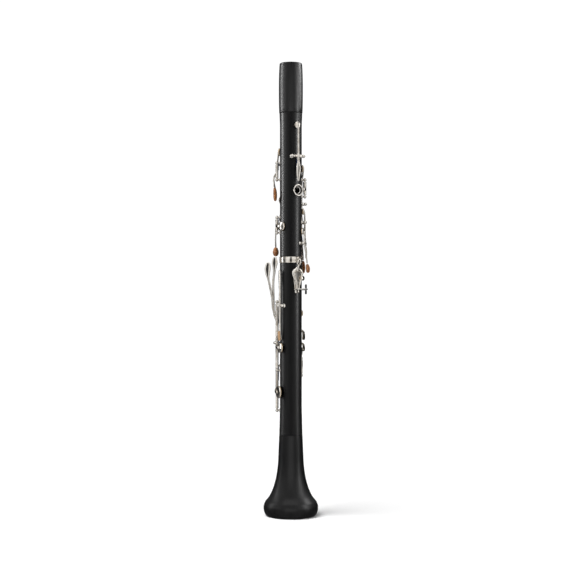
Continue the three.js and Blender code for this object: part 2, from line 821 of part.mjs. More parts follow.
function leftFSharpLever() {
  const rod = AXIAL_RODS.left_f_sharp;
  const head = strip(
    [
      [66, 19.6, 262, 3, 1.8],
      [67, 23.4, 272, 3, 1.8],
      [68, 24.6, 288, 3, 1.8],
      [68, 27.6, 304, 3.2, 1.8],
      [68, 29.8, 310, 6, 1.7],
      [68, 30.6, 316, 9, 1.7],
      [68, 30.6, 327, 8.6, 1.7],
      [68, 30, 334, 5.4, 1.5],
    ],
    sideways(68),
  );
  return turnedOpen(axialKey(rod, 235.6, 278.4, [head]), rod, -OPEN.f_sharp);
}

function leftFLever() {
  const lever = strip([
    [93, 17.9, 323, 4, 1.3],
    [93, 17.8, 312, 4.6, 1.5],
    [95, 17.9, 296, 3, 1.6],
    [96, 18.4, 276, 3.4, 2.8],
    [96, 18.1, 252, 3, 1.6],
    [95, 17.6, 240, 3.4, 1.6],
    [95, 17, 231, 5, 1.6],
  ]);
  return crossKey(CROSS_RODS.left_f, -1.7, 1.7, [lever]);
}

// ---- Thumb rest: a base screwed to the body, a sliding hook with a strap ring, and its screw ----

const REST_TOP = 326;
const HOOK_HEIGHT = 297.3;
const HOOK_REACH = 31;
const STUD_PLACE = [-7, 26.4];

function block(x, y, z) {
  const [[x0, x1], [y0, y1], [z0, z1]] = [x, y, z];
  const box = new THREE.BoxGeometry(x1 - x0, y1 - y0, z1 - z0);
  return solid(box.translate((x0 + x1) / 2, (y0 + y1) / 2, (z0 + z1) / 2));
}

function thumbRestBase() {
  return strip([
    [180, 15.5, REST_TOP, 7, 1.4],
    [180, 15.5, 321, 14, 1.4],
    [180, 15.5, 302, 14, 1.4],
    [180, 15.5, 291, 10, 1.4],
  ]);
}

function thumbRestHook() {
  const slider = strip([
    [180, 17.5, 326.4, 7, 2],
    [180, 17.5, 323, 14.6, 2],
    [180, 17.5, 318.4, 17, 2],
    [180, 17.5, 311, 12.6, 2],
    [180, 17.5, 303, 7.6, 2],
    [180, 17.5, 295.4, 7, 2],
  ]);
  const shelf = block([-9.5, 9.5], [17, HOOK_REACH], [HOOK_HEIGHT - 1.1, HOOK_HEIGHT + 1.1]);
  const tip = block(
    [-7, 7],
    [HOOK_REACH - 1, HOOK_REACH + 1.6],
    [HOOK_HEIGHT - 0.9, HOOK_HEIGHT + 0.9],
  );
  const stem = strip([[180, 18, 323.4, 4, 2], [180, 20, 329.6, 3, 2]]);
  const ringRadius = 4.2;
  const wire = 0.9;
  const section = [0, 1, 2, 3, 4, 5, 6].map((k) => {
    const turn = radians(60 * k);
    return [ringRadius + wire * Math.cos(turn), wire * Math.sin(turn)];
  });
  const ring = turned(section, 16, at(180, 20.4, 333.4), outward(90));
  const [studX, studY] = STUD_PLACE;
  const studHole = bar(new THREE.Vector3(studX, studY, 280), new THREE.Vector3(studX, studY, 310), 1.6);
  return cut(join([slider, shelf, tip, stem, ring]), [studHole]);
}

const studBar = (low, high, radius) =>
  bar(new THREE.Vector3(...STUD_PLACE, low), new THREE.Vector3(...STUD_PLACE, high), radius);

function thumbRestScrew() {
  const facing = -164;
  const height = 312;
  const radius = 3.2;
  const head = bar(at(facing, 20.2, height), at(facing, 22, height), radius, 14);
  const slot = strip([
    [facing, 22.2, height - 5, 0.9, 1.6],
    [facing, 22.2, height + 5, 0.9, 1.6],
  ]);
  return cut(head, [slot]);
}

// ---- The assembly ----

const black = { color: 0x232425, roughness: 0.45, metalness: 0 };
const silver = { color: 0xc9c8c4, roughness: 0.22, metalness: 1 };
const wood = { color: 0x7a4a2c, roughness: 0.5, metalness: 0 };
const cork = { color: 0xb98c5c, roughness: 0.9, metalness: 0 };

const clarinet = new THREE.Group();

function add(name, finish, made) {
  const { vertProperties, triVerts } = made.getMesh();
  const geometry = new THREE.BufferGeometry();
  geometry.setAttribute("position", new THREE.BufferAttribute(vertProperties, 3));
  geometry.setIndex(new THREE.BufferAttribute(triVerts, 1));
  geometry.computeVertexNormals();
  const mesh = new THREE.Mesh(geometry, new THREE.MeshStandardMaterial(finish));
  mesh.name = name;
  clarinet.add(mesh);
}

add("barrel", black, barrel());
add("upper_joint", black, upperJoint());
add("lower_joint", black, lowerJoint());
add("bell", black, bell());
add("socket_ring", silver, socketRing());
const topShoulder = BARREL_FOOT - GAP;
add("top_tenon_cork", cork, corkSleeve(TOP_TENON, topShoulder + TOP_TENON.length, topShoulder));
const middleTip = JOINT_SPLIT - MIDDLE_TENON.length;
add("middle_tenon_cork", cork, corkSleeve(MIDDLE_TENON, middleTip, JOINT_SPLIT));
add("bell_tenon_cork", cork, corkSleeve(BELL_TENON, BELL_SEAM - BELL_TENON.length, BELL_SEAM));
add("thumb_tube", silver, ventTube(THUMB_HOLE, 5.5, CHIMNEY_TOP));
add("register_tube", silver, ventTube(REGISTER_VENT, 3, 16.2));

for (const [name, rod] of Object.entries(AXIAL_RODS)) add(name + "_axle", silver, axialAxle(rod));
for (const [name, rod] of Object.entries(CROSS_RODS)) add(name + "_axle", silver, crossAxle(rod));

add("register_key", silver, registerKey());
add("thumb_ring_key", silver, thumbRingKey());
add("throat_a_key", silver, throatAKey());
add("throat_g_sharp_key", silver, throatGSharpKey());
add("throat_g_sharp_touch", wood, throatGSharpTouch());
add("upper_ring_key", silver, upperRingKey());
add("middle_ring_key", silver, middleRingKey());
add("cross_key", silver, crossPaddedKey());
add("c_sharp_key", silver, cSharpKey());
add("c_sharp_touch", wood, cSharpTouch());
for (const [name, { touch }] of Object.entries(SIDE_KEYS)) {
  add(name, silver, sideKey(name));
  add(name.replace("key", "touch"), name === METAL_TOUCHED ? silver : wood, strip(touch));
}
add("lower_ring_key", silver, lowerRingKey());
add("fork_key", silver, forkKey());
add("a_flat_key", silver, aFlatKey());
add("f_key", silver, fKey());
add("e_key", silver, eKey());
add("f_sharp_key", silver, fSharpKey());
add("left_e_lever", silver, leftELever());
add("left_f_sharp_lever", silver, leftFSharpLever());
add("left_f_lever", silver, leftFLever());
add("right_f_sharp_key", silver, rightFSharpKey());
add("right_e_key", silver, rightEKey());
add("thumb_rest_base", silver, thumbRestBase());
add("thumb_rest_hook", silver, thumbRestHook());
add("thumb_rest_screw", silver, thumbRestScrew());
add("thumb_rest_stud", black, studBar(291, 304, 1.3));

export default clarinet;
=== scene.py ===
"""A B-flat soprano clarinet without its mouthpiece, standing on its bell, seen from the thumb side.

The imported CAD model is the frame. Every visible piece is a finer mesh that stands for a CAD node.
Lengths in the tables are millimetres in the frame's axes: +Z up the bore, -Y the finger holes,
+X the player's left. An angle round the bore is in degrees: 0 front, 90 player's left, 180 thumb side.
"""
from math import copysign, cos, pi, radians, sin

import bmesh
import bpy
from mathutils import Matrix, Vector


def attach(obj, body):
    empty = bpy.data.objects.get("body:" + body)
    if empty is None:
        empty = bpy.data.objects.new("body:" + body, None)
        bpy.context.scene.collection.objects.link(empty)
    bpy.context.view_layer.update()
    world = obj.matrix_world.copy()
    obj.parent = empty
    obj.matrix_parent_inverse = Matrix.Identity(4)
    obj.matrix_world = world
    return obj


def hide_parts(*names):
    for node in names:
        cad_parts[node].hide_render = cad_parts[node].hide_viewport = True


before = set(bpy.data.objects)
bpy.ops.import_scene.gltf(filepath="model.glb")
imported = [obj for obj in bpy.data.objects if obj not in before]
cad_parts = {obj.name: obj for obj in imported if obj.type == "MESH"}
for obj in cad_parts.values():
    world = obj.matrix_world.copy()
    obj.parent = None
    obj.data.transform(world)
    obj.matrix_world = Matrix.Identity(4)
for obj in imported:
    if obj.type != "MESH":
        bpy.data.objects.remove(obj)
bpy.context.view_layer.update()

MM = 0.001
UP = Vector((0, 0, 1))
CENTRE = Vector((0, 0, 0))

# ---- Body sizes ----
BORE = 7.3  # radius of the bore, then of the joints
BODY = 14.4
TOP = 595.0  # height of the barrel's top, then of the seams below it
BARREL_FOOT = 529.4
SPLIT = 340.6
BELL_SEAM = 106.4
GAP = 0.3  # the open line at a seam
FINE = 128  # sides of the large turned pieces

# ---- Keywork sizes ----
ROD = 1.0  # radii of a rod, a key's tube, the tube's bore and a post's ball
TUBE = 2.0
TUBE_BORE = 1.35
BALL = 2.2
# Distances from the bore axis: the axial rods, the pads' seats, the chimneys of the ringed holes,
# the register key's seat, the underside of a shut ring, and the posts' feet.
KEY_RHO = 18.4
PAD_SEAT = 15.0
CHIMNEY_TOP = 16.6
REGISTER_SEAT = 16.2
RING_LOW = 15.3
POST_FOOT = 14.1
RING_OUT = 7.8  # radii of a finger ring
RING_IN = 6.1
PAD_OVERLAP = 1.8  # how much wider a pad's radius is than its hole's, and than its seat's
SEAT_OVERLAP = 0.7
CAP_TURNS = [radians(21 * k) for k in range(5)]  # steps round the end of a bar

THUMB_HOLE = (180, 427, 4.0)
RINGED_HOLES = [(0, 416, 3.5), (0, 392, 3.8), (0, 301, 4.0), (0, 278, 4.2), (0, 254, 4.4)]
PLAIN_HOLE = (0, 360, 3.8)

# Angle, height and pad radius of each cup over its tone hole.
PADS = {
    "register_key": (180, 512, 4.5),
    "throat_a_key": (8, 499, 5),
    "throat_g_sharp_key": (32, 479, 5),
    "upper_ring_key": (-22, 437, 4.5),
    "middle_ring_key": (-20, 403.5, 3.6),
    "side_key_1": (-69, 474, 4.8),
    "side_key_2": (-97, 457, 4.8),
    "side_key_3": (-112, 400, 4.2),
    "side_key_4": (-136, 374, 4.5),
    "cross_key": (-24, 374, 3.6),
    "c_sharp_key": (98, 380, 6.2),
    "lower_ring_key": (-6, 317, 5),
    "fork_key": (-84, 266, 4.6),
    "a_flat_key": (-18, 236, 6),
    "f_sharp_key": (100, 221, 6.5),
    "f_key": (-8, 190, 7.5),
    "e_key": (92, 163, 8.2),
}

# Rods along the body, at KEY_RHO from the bore axis: angle, post heights.
AXIAL_RODS = {
    "thumb_ring": (-123, (419.5, 441.5)),
    "throat_g_sharp": (57, (442, 464)),
    "upper_stack": (-42, (347, 406, 452)),
    "cross": (-6, (366.8, 379.2)),
    "c_sharp": (62, (372, 392)),
    "lower_stack": (-38, (249.5, 325)),
    "fork": (-58, (257.5, 274.5)),
    "right_pinky": (-54, (211.5, 246.5)),
    "f": (-80, (183.5, 206)),
    "left_e": (51, (138, 197, 273.5)),
    "left_f_sharp": (66, (191, 233, 281)),
}

# Rods across the body: angle, distance from the bore axis, height, places of the posts.
CROSS_RODS = {
    "register": (180, 17.6, 471.5, (-8.7, 8.7)),
    "throat_a": (8, 17.8, 463, (-5.5, 5.5)),
    "trill": (-74, 18, 410.2, (-9.4, 5.6)),
    "side_3": (-110, 18.1, 385.5, (-5.5, 5.5)),
    "side_4": (-136, 18.1, 358, (-5.5, 5.5)),
    "left_f": (96, 17.6, 276, (-4.4, 4.4)),
}


# ---- Points and meshes ----

def at(phi, rho, z):
    """The point at an angle round the bore, a distance from its axis and a height."""
    turn = radians(phi)
    return Vector((rho * sin(turn), -rho * cos(turn), z))


def outward(phi):
    return at(phi, 1, 0)


def sideways(phi):
    return at(phi + 90, 1, 0)


def on_rod(name, places):
    """Points on a rod, at heights on an axial rod or at distances along a cross rod."""
    if name in AXIAL_RODS:
        return [at(AXIAL_RODS[name][0], KEY_RHO, z) for z in places]
    phi, rho, z = CROSS_RODS[name][:3]
    return [at(phi, rho, z) + sideways(phi) * aside for aside in places]


def loft(rings, closed=False):
    """Quads between rings of points; a ring of one point is a pole, and open ends get a cap."""
    points = [p for ring in rings for p in ring]
    starts = [sum(len(r) for r in rings[:k]) for k in range(len(rings))]
    faces = []
    pairs = [(k, k + 1) for k in range(len(rings) - 1)]
    if closed:
        pairs.append((len(rings) - 1, 0))
    for a, b in pairs:
        low, high = rings[a], rings[b]
        count = max(len(low), len(high))
        for k in range(count):
            n = (k + 1) % count
            corners = [starts[a] + k % len(low), starts[a] + n % len(low),
                       starts[b] + n % len(high), starts[b] + k % len(high)]
            face = tuple(dict.fromkeys(corners))
            if len(face) > 2:
                faces.append(face)
    if not closed:
        if len(rings[0]) > 1:
            faces.append(tuple(range(len(rings[0])))[::-1])
        if len(rings[-1]) > 1:
            faces.append(tuple(starts[-1] + k for k in range(len(rings[-1]))))
    return points, faces


def frame_of(axis):
    """Two directions across an axis, and the axis."""
    axis = axis.normalized()
    first = axis.orthogonal().normalized()
    if abs(axis.z) > 0.99:
        first = Vector((1, 0, 0))
    return first, axis.cross(first).normalized(), axis


def revolve(profile, foot=CENTRE, axis=UP, sides=32, closed=False):
    """A turned solid: the profile lists (radius, distance along the axis from the foot)."""
    first, second, along = frame_of(axis)
    rings = []
    for radius, height in profile:
        middle = foot + along * height
        if radius < 1e-6:
            rings.append([middle])
            continue
        turns = [2 * pi * k / sides for k in range(sides)]
        rings.append([middle + (first * cos(t) + second * sin(t)) * radius for t in turns])
    return loft(rings, closed)


def arc(centre, radius, start, end, steps=6):
    """Points of a round corner, as (radius, height) pairs; angles in degrees."""
    turns = [radians(start + (end - start) * k / steps) for k in range(steps + 1)]
    return [(centre[0] + radius * cos(t), centre[1] + radius * sin(t)) for t in turns]


def smooth_rows(rows, steps):
    """Catmull-Rom rows between the given rows of numbers."""
    out = []
    for k in range(len(rows) - 1):
        a, b, c, d = (rows[max(k - 1, 0)], rows[k], rows[k + 1], rows[min(k + 2, len(rows) - 1)])
        for i in range(steps):
            t = i / steps
            out.append([0.5 * (2 * q + (r - p) * t + (2 * p - 5 * q + 4 * r - s) * t * t
                               + (3 * q - p - 3 * r + s) * t ** 3) for p, q, r, s in zip(a, b, c, d)])
    out.append(list(rows[-1]))
    return out


def bar_ring(middle, forward, thick, width, thickness, sides, square):
    """Points round a bar's cross section: an ellipse, squarer for a smaller exponent."""
    wide = thick.cross(forward).normalized()
    lift = forward.cross(wide).normalized()
    points = []
    for k in range(sides):
        turn = 2 * pi * (k + 0.5) / sides
        c, s = cos(turn), sin(turn)
        x = copysign(abs(c) ** square, c) * width / 2
        y = copysign(abs(s) ** square, s) * thickness / 2
        points.append(middle + wide * x + lift * y)
    return points


def strip(stations, normal=None, steps=7, sides=20, square=0.85, ends=(True, True)):
    """A forged bar through stations (angle, distance, height, width, thickness), with round ends.

    The thickness lies along the normal, or outward from the bore."""
    rows = smooth_rows(stations, steps)
    centres = [at(*row[:3]) for row in rows]
    last = len(rows) - 1
    rings = []
    for k, row in enumerate(rows):
        forward = (centres[min(k + 1, last)] - centres[max(k - 1, 0)]).normalized()
        thick = normal if normal is not None else outward(row[0])
        width, thickness = row[3:]
        turns, way = [0], 1
        if k == 0 and ends[0]:
            turns, way = CAP_TURNS[::-1], -1
        elif k == last and ends[1]:
            turns = CAP_TURNS
        for turn in turns:
            middle = centres[k] + forward * (way * sin(turn) * width * 0.35)
            flat = 1 - 0.75 * (1 - cos(turn))
            rings.append(bar_ring(middle, forward, thick, width * cos(turn), thickness * flat,
                                  sides, square))
    return loft(rings)


def bar(start, end, radius, sides=24, chamfer=0.25):
    length = (end - start).length
    profile = [(0, 0), (radius - chamfer, 0), (radius, chamfer), (radius, length - chamfer),
               (radius - chamfer, length), (0, length)]
    return revolve(profile, start, end - start, sides)


def key_tube(start, end):
    """An open tube with a small collar at each end."""
    length = (end - start).length
    collar = min(1.2, length / 4)
    rim = TUBE + 0.12
    profile = [(TUBE_BORE, 0), (TUBE - 0.1, 0), (rim, 0.2), (rim, collar), (TUBE, collar + 0.2),
               (TUBE, length - collar - 0.2), (rim, length - collar), (rim, length - 0.2),
               (TUBE - 0.1, length), (TUBE_BORE, length)]
    return revolve(profile, start, end - start, 28, closed=True)


def turned_about(shells, rod, degrees):
    """The shells turned about an axial rod."""
    pivot = at(AXIAL_RODS[rod][0], KEY_RHO, 0)
    spin = Matrix.Rotation(radians(degrees), 4, "Z")
    turn = Matrix.Translation(pivot) @ spin @ Matrix.Translation(-pivot)
    return [([turn @ p for p in points], faces) for points, faces in shells]


def mesh_of(name, shells):
    """One mesh of closed shells, in metres, with every face turned outward."""
    mesh = bpy.data.meshes.new(name)
    points, faces = [], []
    for shell_points, shell_faces in shells:
        base = len(points)
        points += [p * MM for p in shell_points]
        faces += [tuple(base + k for k in face) for face in shell_faces]
    mesh.from_pydata(points, [], faces)
    work = bmesh.new()
    work.from_mesh(mesh)
    bmesh.ops.recalc_face_normals(work, faces=work.faces)
    work.to_mesh(mesh)
    work.free()
    return mesh


def add_object(name, data):
    made = bpy.data.objects.new(name, data)
    bpy.context.scene.collection.objects.link(made)
    return made


def piece(name, shells, body, look, replaces=(), angle=38):
    """One object riding on a CAD body, with edges sharper than the angle left sharp."""
    slot, material = look
    mesh = mesh_of(name, shells)
    made = add_object(name, mesh)
    mesh.shade_smooth()
    mesh.set_sharp_from_angle(angle=radians(angle))
    mesh.materials.append(material)
    if replaces:
        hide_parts(*replaces)
    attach(made, body)
    return made


def drill(wood, cutters):
    """Cuts the cutters out of a piece with one exact boolean, then smooths its shading again."""
    tool = add_object("cutters", mesh_of("cutters", cutters))
    cut = wood.modifiers.new("holes", "BOOLEAN")
    cut.operation = "DIFFERENCE"
    cut.solver = "EXACT"
    cut.object = tool
    bpy.context.view_layer.update()
    shape = bpy.data.meshes.new_from_object(wood.evaluated_get(bpy.context.evaluated_depsgraph_get()))
    wood.modifiers.clear()
    old = wood.data
    wood.data = shape
    shape.name = old.name + "_drilled"
    bpy.data.meshes.remove(old)
    bpy.data.objects.remove(tool)
    shape.set_sharp_from_angle(angle=radians(30))


# ---- Materials ----

def new_material(name, color, roughness, metallic=0.0):
    material = bpy.data.materials.new(name)
    material.use_nodes = True
    shader = material.node_tree.nodes["Principled BSDF"]
    shader.inputs["Base Color"].default_value = (*color, 1)
    shader.inputs["Roughness"].default_value = roughness
    shader.inputs["Metallic"].default_value = metallic
    material.diffuse_color = (*color, 1)
    return material, material.node_tree, shader


def feed(tree, node, inputs):
    """Sets each input of a node to a value, or links it to another node's output."""
    for key, value in inputs.items():
        if isinstance(value, bpy.types.NodeSocket):
            tree.links.new(value, node.inputs[key])
        else:
            node.inputs[key].default_value = value
    return node


def add_node(tree, kind, inputs):
    return feed(tree, tree.nodes.new(kind), inputs)


def place_in(tree, space):
    return tree.nodes.new("ShaderNodeTexCoord").outputs[space]


def stretched_noise(tree, stretch, scale, detail, distortion=0.0):
    """Noise in the object's own metres, with one scale factor for each axis."""
    mapping = add_node(tree, "ShaderNodeMapping", {"Vector": place_in(tree, "Object"), "Scale": stretch})
    noise = add_node(tree, "ShaderNodeTexNoise", {"Vector": mapping.outputs["Vector"], "Scale": scale,
                                                  "Detail": detail, "Distortion": distortion})
    return noise.outputs["Fac"]


def ramp(tree, value, stops):
    """A colour, or a grey from one number, for each place along a value from 0 to 1."""
    node = add_node(tree, "ShaderNodeValToRGB", {"Fac": value})
    while len(node.color_ramp.elements) < len(stops):
        node.color_ramp.elements.new(0.5)
    for element, (place, color) in zip(node.color_ramp.elements, stops):
        element.position = place
        element.color = (*color, 1) if isinstance(color, tuple) else (color, color, color, 1)
    return node.outputs["Color"]


def span(tree, value, low, high):
    node = add_node(tree, "ShaderNodeMapRange", {"Value": value, "To Min": low, "To Max": high})
    return node.outputs["Result"]


def bump(tree, shader, value, strength, distance):
    node = add_node(tree, "ShaderNodeBump", {"Height": value, "Strength": strength, "Distance": distance})
    feed(tree, shader, {"Normal": node.outputs["Normal"]})


def edge_wear(tree, low, high):
    """0 on flats and 1 on sharp edges."""
    sharpness = tree.nodes.new("ShaderNodeNewGeometry").outputs["Pointiness"]
    node = add_node(tree, "ShaderNodeMapRange", {"Value": sharpness, "From Min": low, "From Max": high})
    return node.outputs["Result"]


def mix_color(tree, factor, base, tint):
    """The base where the factor is 0, and the tint where it is 1."""
    node = tree.nodes.new("ShaderNodeMix")
    node.data_type = "RGBA"
    feed(tree, node, {"Factor": factor, "A": base, "B": (*tint, 1)})
    return node.outputs["Result"]


def black_wood():
    """Satin black body: fine grain along the bore, faint polish variation and paler edges."""
    material, tree, shader = new_material("black_wood", (0.013, 0.013, 0.0135), 0.36)
    grain = stretched_noise(tree, (1, 1, 0.035), 900, 2, 0.3)
    cloud = stretched_noise(tree, (1, 1, 0.5), 38, 3)
    base = ramp(tree, grain, [(0.34, (0.0048, 0.0048, 0.0051)), (0.62, (0.0068, 0.0067, 0.0068)),
                              (0.8, (0.0095, 0.009, 0.0085))])
    worn = mix_color(tree, edge_wear(tree, 0.56, 0.7), base, (0.011, 0.011, 0.011))
    feed(tree, shader, {"Base Color": worn, "Roughness": span(tree, cloud, 0.31, 0.43)})
    shader.inputs["Specular IOR Level"].default_value = 0.1
    bump(tree, shader, grain, 0.02, 0.00004)
    return material


def silver_plate():
    """Polished silver plate with hairline handling marks and a little tarnish in the hollows."""
    material, tree, shader = new_material("silver_plate", (0.86, 0.845, 0.81), 0.16, 1.0)
    hair = stretched_noise(tree, (1, 1, 0.12), 3200, 3)
    tarnish = stretched_noise(tree, (1, 1, 1), 160, 5)
    tint = ramp(tree, tarnish, [(0.36, (0.66, 0.60, 0.52)), (0.58, (0.85, 0.81, 0.75))])
    worn = mix_color(tree, edge_wear(tree, 0.5, 0.62), tint, (0.92, 0.89, 0.84))
    feed(tree, shader, {"Base Color": worn, "Roughness": span(tree, hair, 0.07, 0.17)})
    bump(tree, shader, hair, 0.05, 0.00003)
    return material


def touch_wood():
    """Oiled reddish brown wood with dark pores along the touch."""
    material, tree, shader = new_material("touch_wood", (0.22, 0.09, 0.04), 0.42)
    rings = stretched_noise(tree, (1, 1, 0.16), 520, 4, 1.2)
    pores = stretched_noise(tree, (1, 1, 0.07), 2600, 3)
    base = ramp(tree, rings, [(0.32, (0.15, 0.052, 0.016)), (0.5, (0.34, 0.13, 0.04)),
                              (0.68, (0.52, 0.225, 0.078))])
    dark = ramp(tree, pores, [(0.36, 1.0), (0.44, 0.0)])
    worn = mix_color(tree, dark, base, (0.06, 0.022, 0.01))
    feed(tree, shader, {"Base Color": worn, "Roughness": span(tree, rings, 0.34, 0.5)})
    shader.inputs["Coat Weight"].default_value = 0.25
    shader.inputs["Coat Roughness"].default_value = 0.25
    bump(tree, shader, pores, 0.25, 0.00008)
    return material


def pad_skin():
    material, tree, shader = new_material("pad_skin", (0.60, 0.46, 0.30), 0.55)
    skin = stretched_noise(tree, (1, 1, 1), 900, 6)
    tan = ramp(tree, skin, [(0.35, (0.50, 0.36, 0.21)), (0.65, (0.70, 0.56, 0.39))])
    feed(tree, shader, {"Base Color": tan})
    bump(tree, shader, skin, 0.3, 0.0001)
    return material


def cork_bark():
    material, tree, shader = new_material("cork", (0.45, 0.29, 0.16), 0.85)
    cells = add_node(tree, "ShaderNodeTexVoronoi", {"Vector": place_in(tree, "Object"), "Scale": 900})
    grain = cells.outputs["Distance"]
    brown = ramp(tree, grain, [(0.0, (0.62, 0.43, 0.26)), (0.7, (0.33, 0.19, 0.09))])
    feed(tree, shader, {"Base Color": brown})
    bump(tree, shader, grain, 0.5, 0.0002)
    return material


def spring_steel():
    material, tree, shader = new_material("spring_steel", (0.10, 0.13, 0.22), 0.28, 1.0)
    heat = stretched_noise(tree, (1, 1, 0.3), 300, 3)
    blue = ramp(tree, heat, [(0.4, (0.05, 0.08, 0.18)), (0.6, (0.16, 0.18, 0.24))])
    feed(tree, shader, {"Base Color": blue})
    return material


def black_stud():
    material, tree, shader = new_material("black_stud", (0.018, 0.018, 0.02), 0.5)
    speckle = stretched_noise(tree, (1, 1, 1), 1800, 4)
    dark = ramp(tree, speckle, [(0.4, 0.012), (0.6, 0.03)])
    feed(tree, shader, {"Base Color": dark, "Roughness": span(tree, speckle, 0.4, 0.62)})
    bump(tree, shader, speckle, 0.3, 0.00008)
    return material


# Each look: a material slot name, and the material drawn here.
BLACK = ("black_wood", black_wood())
SILVER = ("silver_plate", silver_plate())
WOOD = ("touch_wood", touch_wood())
PAD = ("pad_skin", pad_skin())
CORK = ("cork", cork_bark())
STEEL = ("spring_steel", spring_steel())
STUD = ("black_stud", black_stud())


# ---- Camera, floor and light ----

VIEW_ANGLE = 149
CAMERA_DISTANCE = 1.640
CAMERA_HEIGHT = 0.294
CAMERA_ASIDE = 0.0015
LENS = 76.75
FLOOR_HALF = 14
FLOOR_GLOW = 0.02
BACKDROP_GLOW = 1.05
# Brightness of the room round the object, by the angle from the camera as a share of 180 degrees.
ROOM = [(0.0, 0.02), (0.045, 0.02), (0.075, 0.82), (0.27, 0.82), (0.34, 0.12), (0.5, 0.03), (0.8, 0.02),
        (1.0, 0.1)]
# Light added by the height of the direction: 0 straight down, 1 straight up.
HEIGHTS = [(0.34, 0.14), (0.43, 0.0), (0.53, 0.0), (0.62, 0.2), (1.0, 0.3)]
# Highlights for the black wood: angle from the camera, distance, height, size, and the power for
# the barrel, the joints and the bell.
STRIPS = [(-99, 1.1, 0.76, (0.22, 0.8), 27, 31, 5), (-96, 1.1, 0.1, (0.2, 0.5), 0, 2.7, 0.7),
          (104, 1.1, 1.0, (0.4, 0.5), 26, 18, 14), (72, 1.1, 0.5, (0.18, 0.6), 14, 14, 8.5),
          (74, 1.1, 0.02, (0.18, 0.4), 0, 1.7, 1.3), (0, 1.9, 0.3, (1.6, 1.2), 26, 0, 20),
          (-64, 1.4, 0.7, (0.7, 0.9), 9, 6, 4), (60, 1.4, 0.7, (0.7, 0.9), 13, 7, 5),
          (0, 0.35, 1.9, (1.6, 1.6), 0, 0, 20)]
LIT_TOGETHER = {"barrel": ["wood_barrel"], "joint": ["wood_upper_joint", "wood_lower_joint"],
                "bell": ["wood_bell"]}


def make_camera():
    data = bpy.data.cameras.new("camera")
    data.lens = LENS
    data.sensor_width = 36
    camera = add_object("camera", data)
    aside = sideways(VIEW_ANGLE) * CAMERA_ASIDE
    camera.location = outward(VIEW_ANGLE) * CAMERA_DISTANCE + aside + UP * CAMERA_HEIGHT
    camera.rotation_euler = (radians(90), 0, radians(VIEW_ANGLE))
    bpy.context.scene.camera = camera


def make_floor():
    mesh = bpy.data.meshes.new("floor")
    corners = [(x * FLOOR_HALF, y * FLOOR_HALF, 0) for x, y in ((-1, -1), (1, -1), (1, 1), (-1, 1))]
    mesh.from_pydata(corners, [], [(0, 1, 2, 3)])
    floor = add_object("floor", mesh)
    material, tree, shader = new_material("pale_floor", (0.92, 0.92, 0.92), 0.8)
    paper = stretched_noise(tree, (1, 1, 1), 60, 5)
    feed(tree, shader, {"Base Color": ramp(tree, paper, [(0.3, 0.915), (0.7, 0.93)])})
    shader.inputs["Specular IOR Level"].default_value = 0.0
    shader.inputs["Emission Color"].default_value = (1, 1, 1, 1)
    shader.inputs["Emission Strength"].default_value = FLOOR_GLOW
    mesh.materials.append(material)
    floor.visible_glossy = False


def area_light(name, angle, distance, height, size, power, aim):
    """A soft box at an angle from the camera, facing the bore axis at the height it aims for."""
    data = bpy.data.lights.new(name, "AREA")
    data.shape = "RECTANGLE"
    data.size, data.size_y = size
    data.energy = power
    light = add_object(name, data)
    light.location = outward(VIEW_ANGLE + angle) * distance + UP * height
    toward = UP * aim - light.location
    light.rotation_euler = toward.to_track_quat("-Z", "Y").to_euler()
    return light


def soft_sun(name, strength, spread, angle, elevation):
    """Even light with soft shadows, left out of reflections; angles in degrees."""
    data = bpy.data.lights.new(name, "SUN")
    data.energy = strength
    data.angle = radians(spread)
    sun = add_object(name, data)
    rise = radians(elevation)
    source = outward(angle) * cos(rise) + UP * sin(rise)
    sun.rotation_euler = (-source).to_track_quat("-Z", "Y").to_euler()
    sun.visible_glossy = False


def math_node(tree, operation, first, second=0.0):
    node = tree.nodes.new("ShaderNodeMath")
    node.operation = operation
    return feed(tree, node, {0: first, 1: second}).outputs["Value"]


def direction_from_camera(tree):
    """How far a world direction is turned from the camera's side: 0 there, 1 straight behind."""
    turned = tree.nodes.new("ShaderNodeVectorRotate")
    turned.rotation_type = "Z_AXIS"
    feed(tree, turned, {"Vector": place_in(tree, "Generated"), "Angle": -radians(VIEW_ANGLE)})
    split = add_node(tree, "ShaderNodeSeparateXYZ", {"Vector": turned.outputs["Vector"]})
    toward = math_node(tree, "MULTIPLY", split.outputs["Y"], -1)
    angle = math_node(tree, "ARCTAN2", split.outputs["X"], toward)
    return math_node(tree, "DIVIDE", math_node(tree, "ABSOLUTE", angle), pi)


def glow_by_height(tree):
    """More light from above and from the floor than from the level of the object."""
    split = add_node(tree, "ShaderNodeSeparateXYZ", {"Vector": place_in(tree, "Generated")})
    share = add_node(tree, "ShaderNodeMapRange", {"Value": split.outputs["Z"], "From Min": -1})
    return ramp(tree, share.outputs["Result"], HEIGHTS)


def make_world():
    """White behind the object for the camera; soft boxes with dark gaps for everything else."""
    world = bpy.data.worlds.new("studio")
    bpy.context.scene.world = world
    world.use_nodes = True
    tree = world.node_tree
    tree.nodes.clear()
    seen = add_node(tree, "ShaderNodeBackground", {"Color": (1, 1, 1, 1), "Strength": BACKDROP_GLOW})
    both = add_node(tree, "ShaderNodeVectorMath", {0: ramp(tree, direction_from_camera(tree), ROOM),
                                                   1: glow_by_height(tree)})
    lit = add_node(tree, "ShaderNodeBackground", {"Color": both.outputs["Vector"]})
    path = tree.nodes.new("ShaderNodeLightPath")
    mix = add_node(tree, "ShaderNodeMixShader", {0: path.outputs["Is Camera Ray"],
                                                 1: lit.outputs["Background"],
                                                 2: seen.outputs["Background"]})
    add_node(tree, "ShaderNodeOutputWorld", {"Surface": mix.outputs["Shader"]})


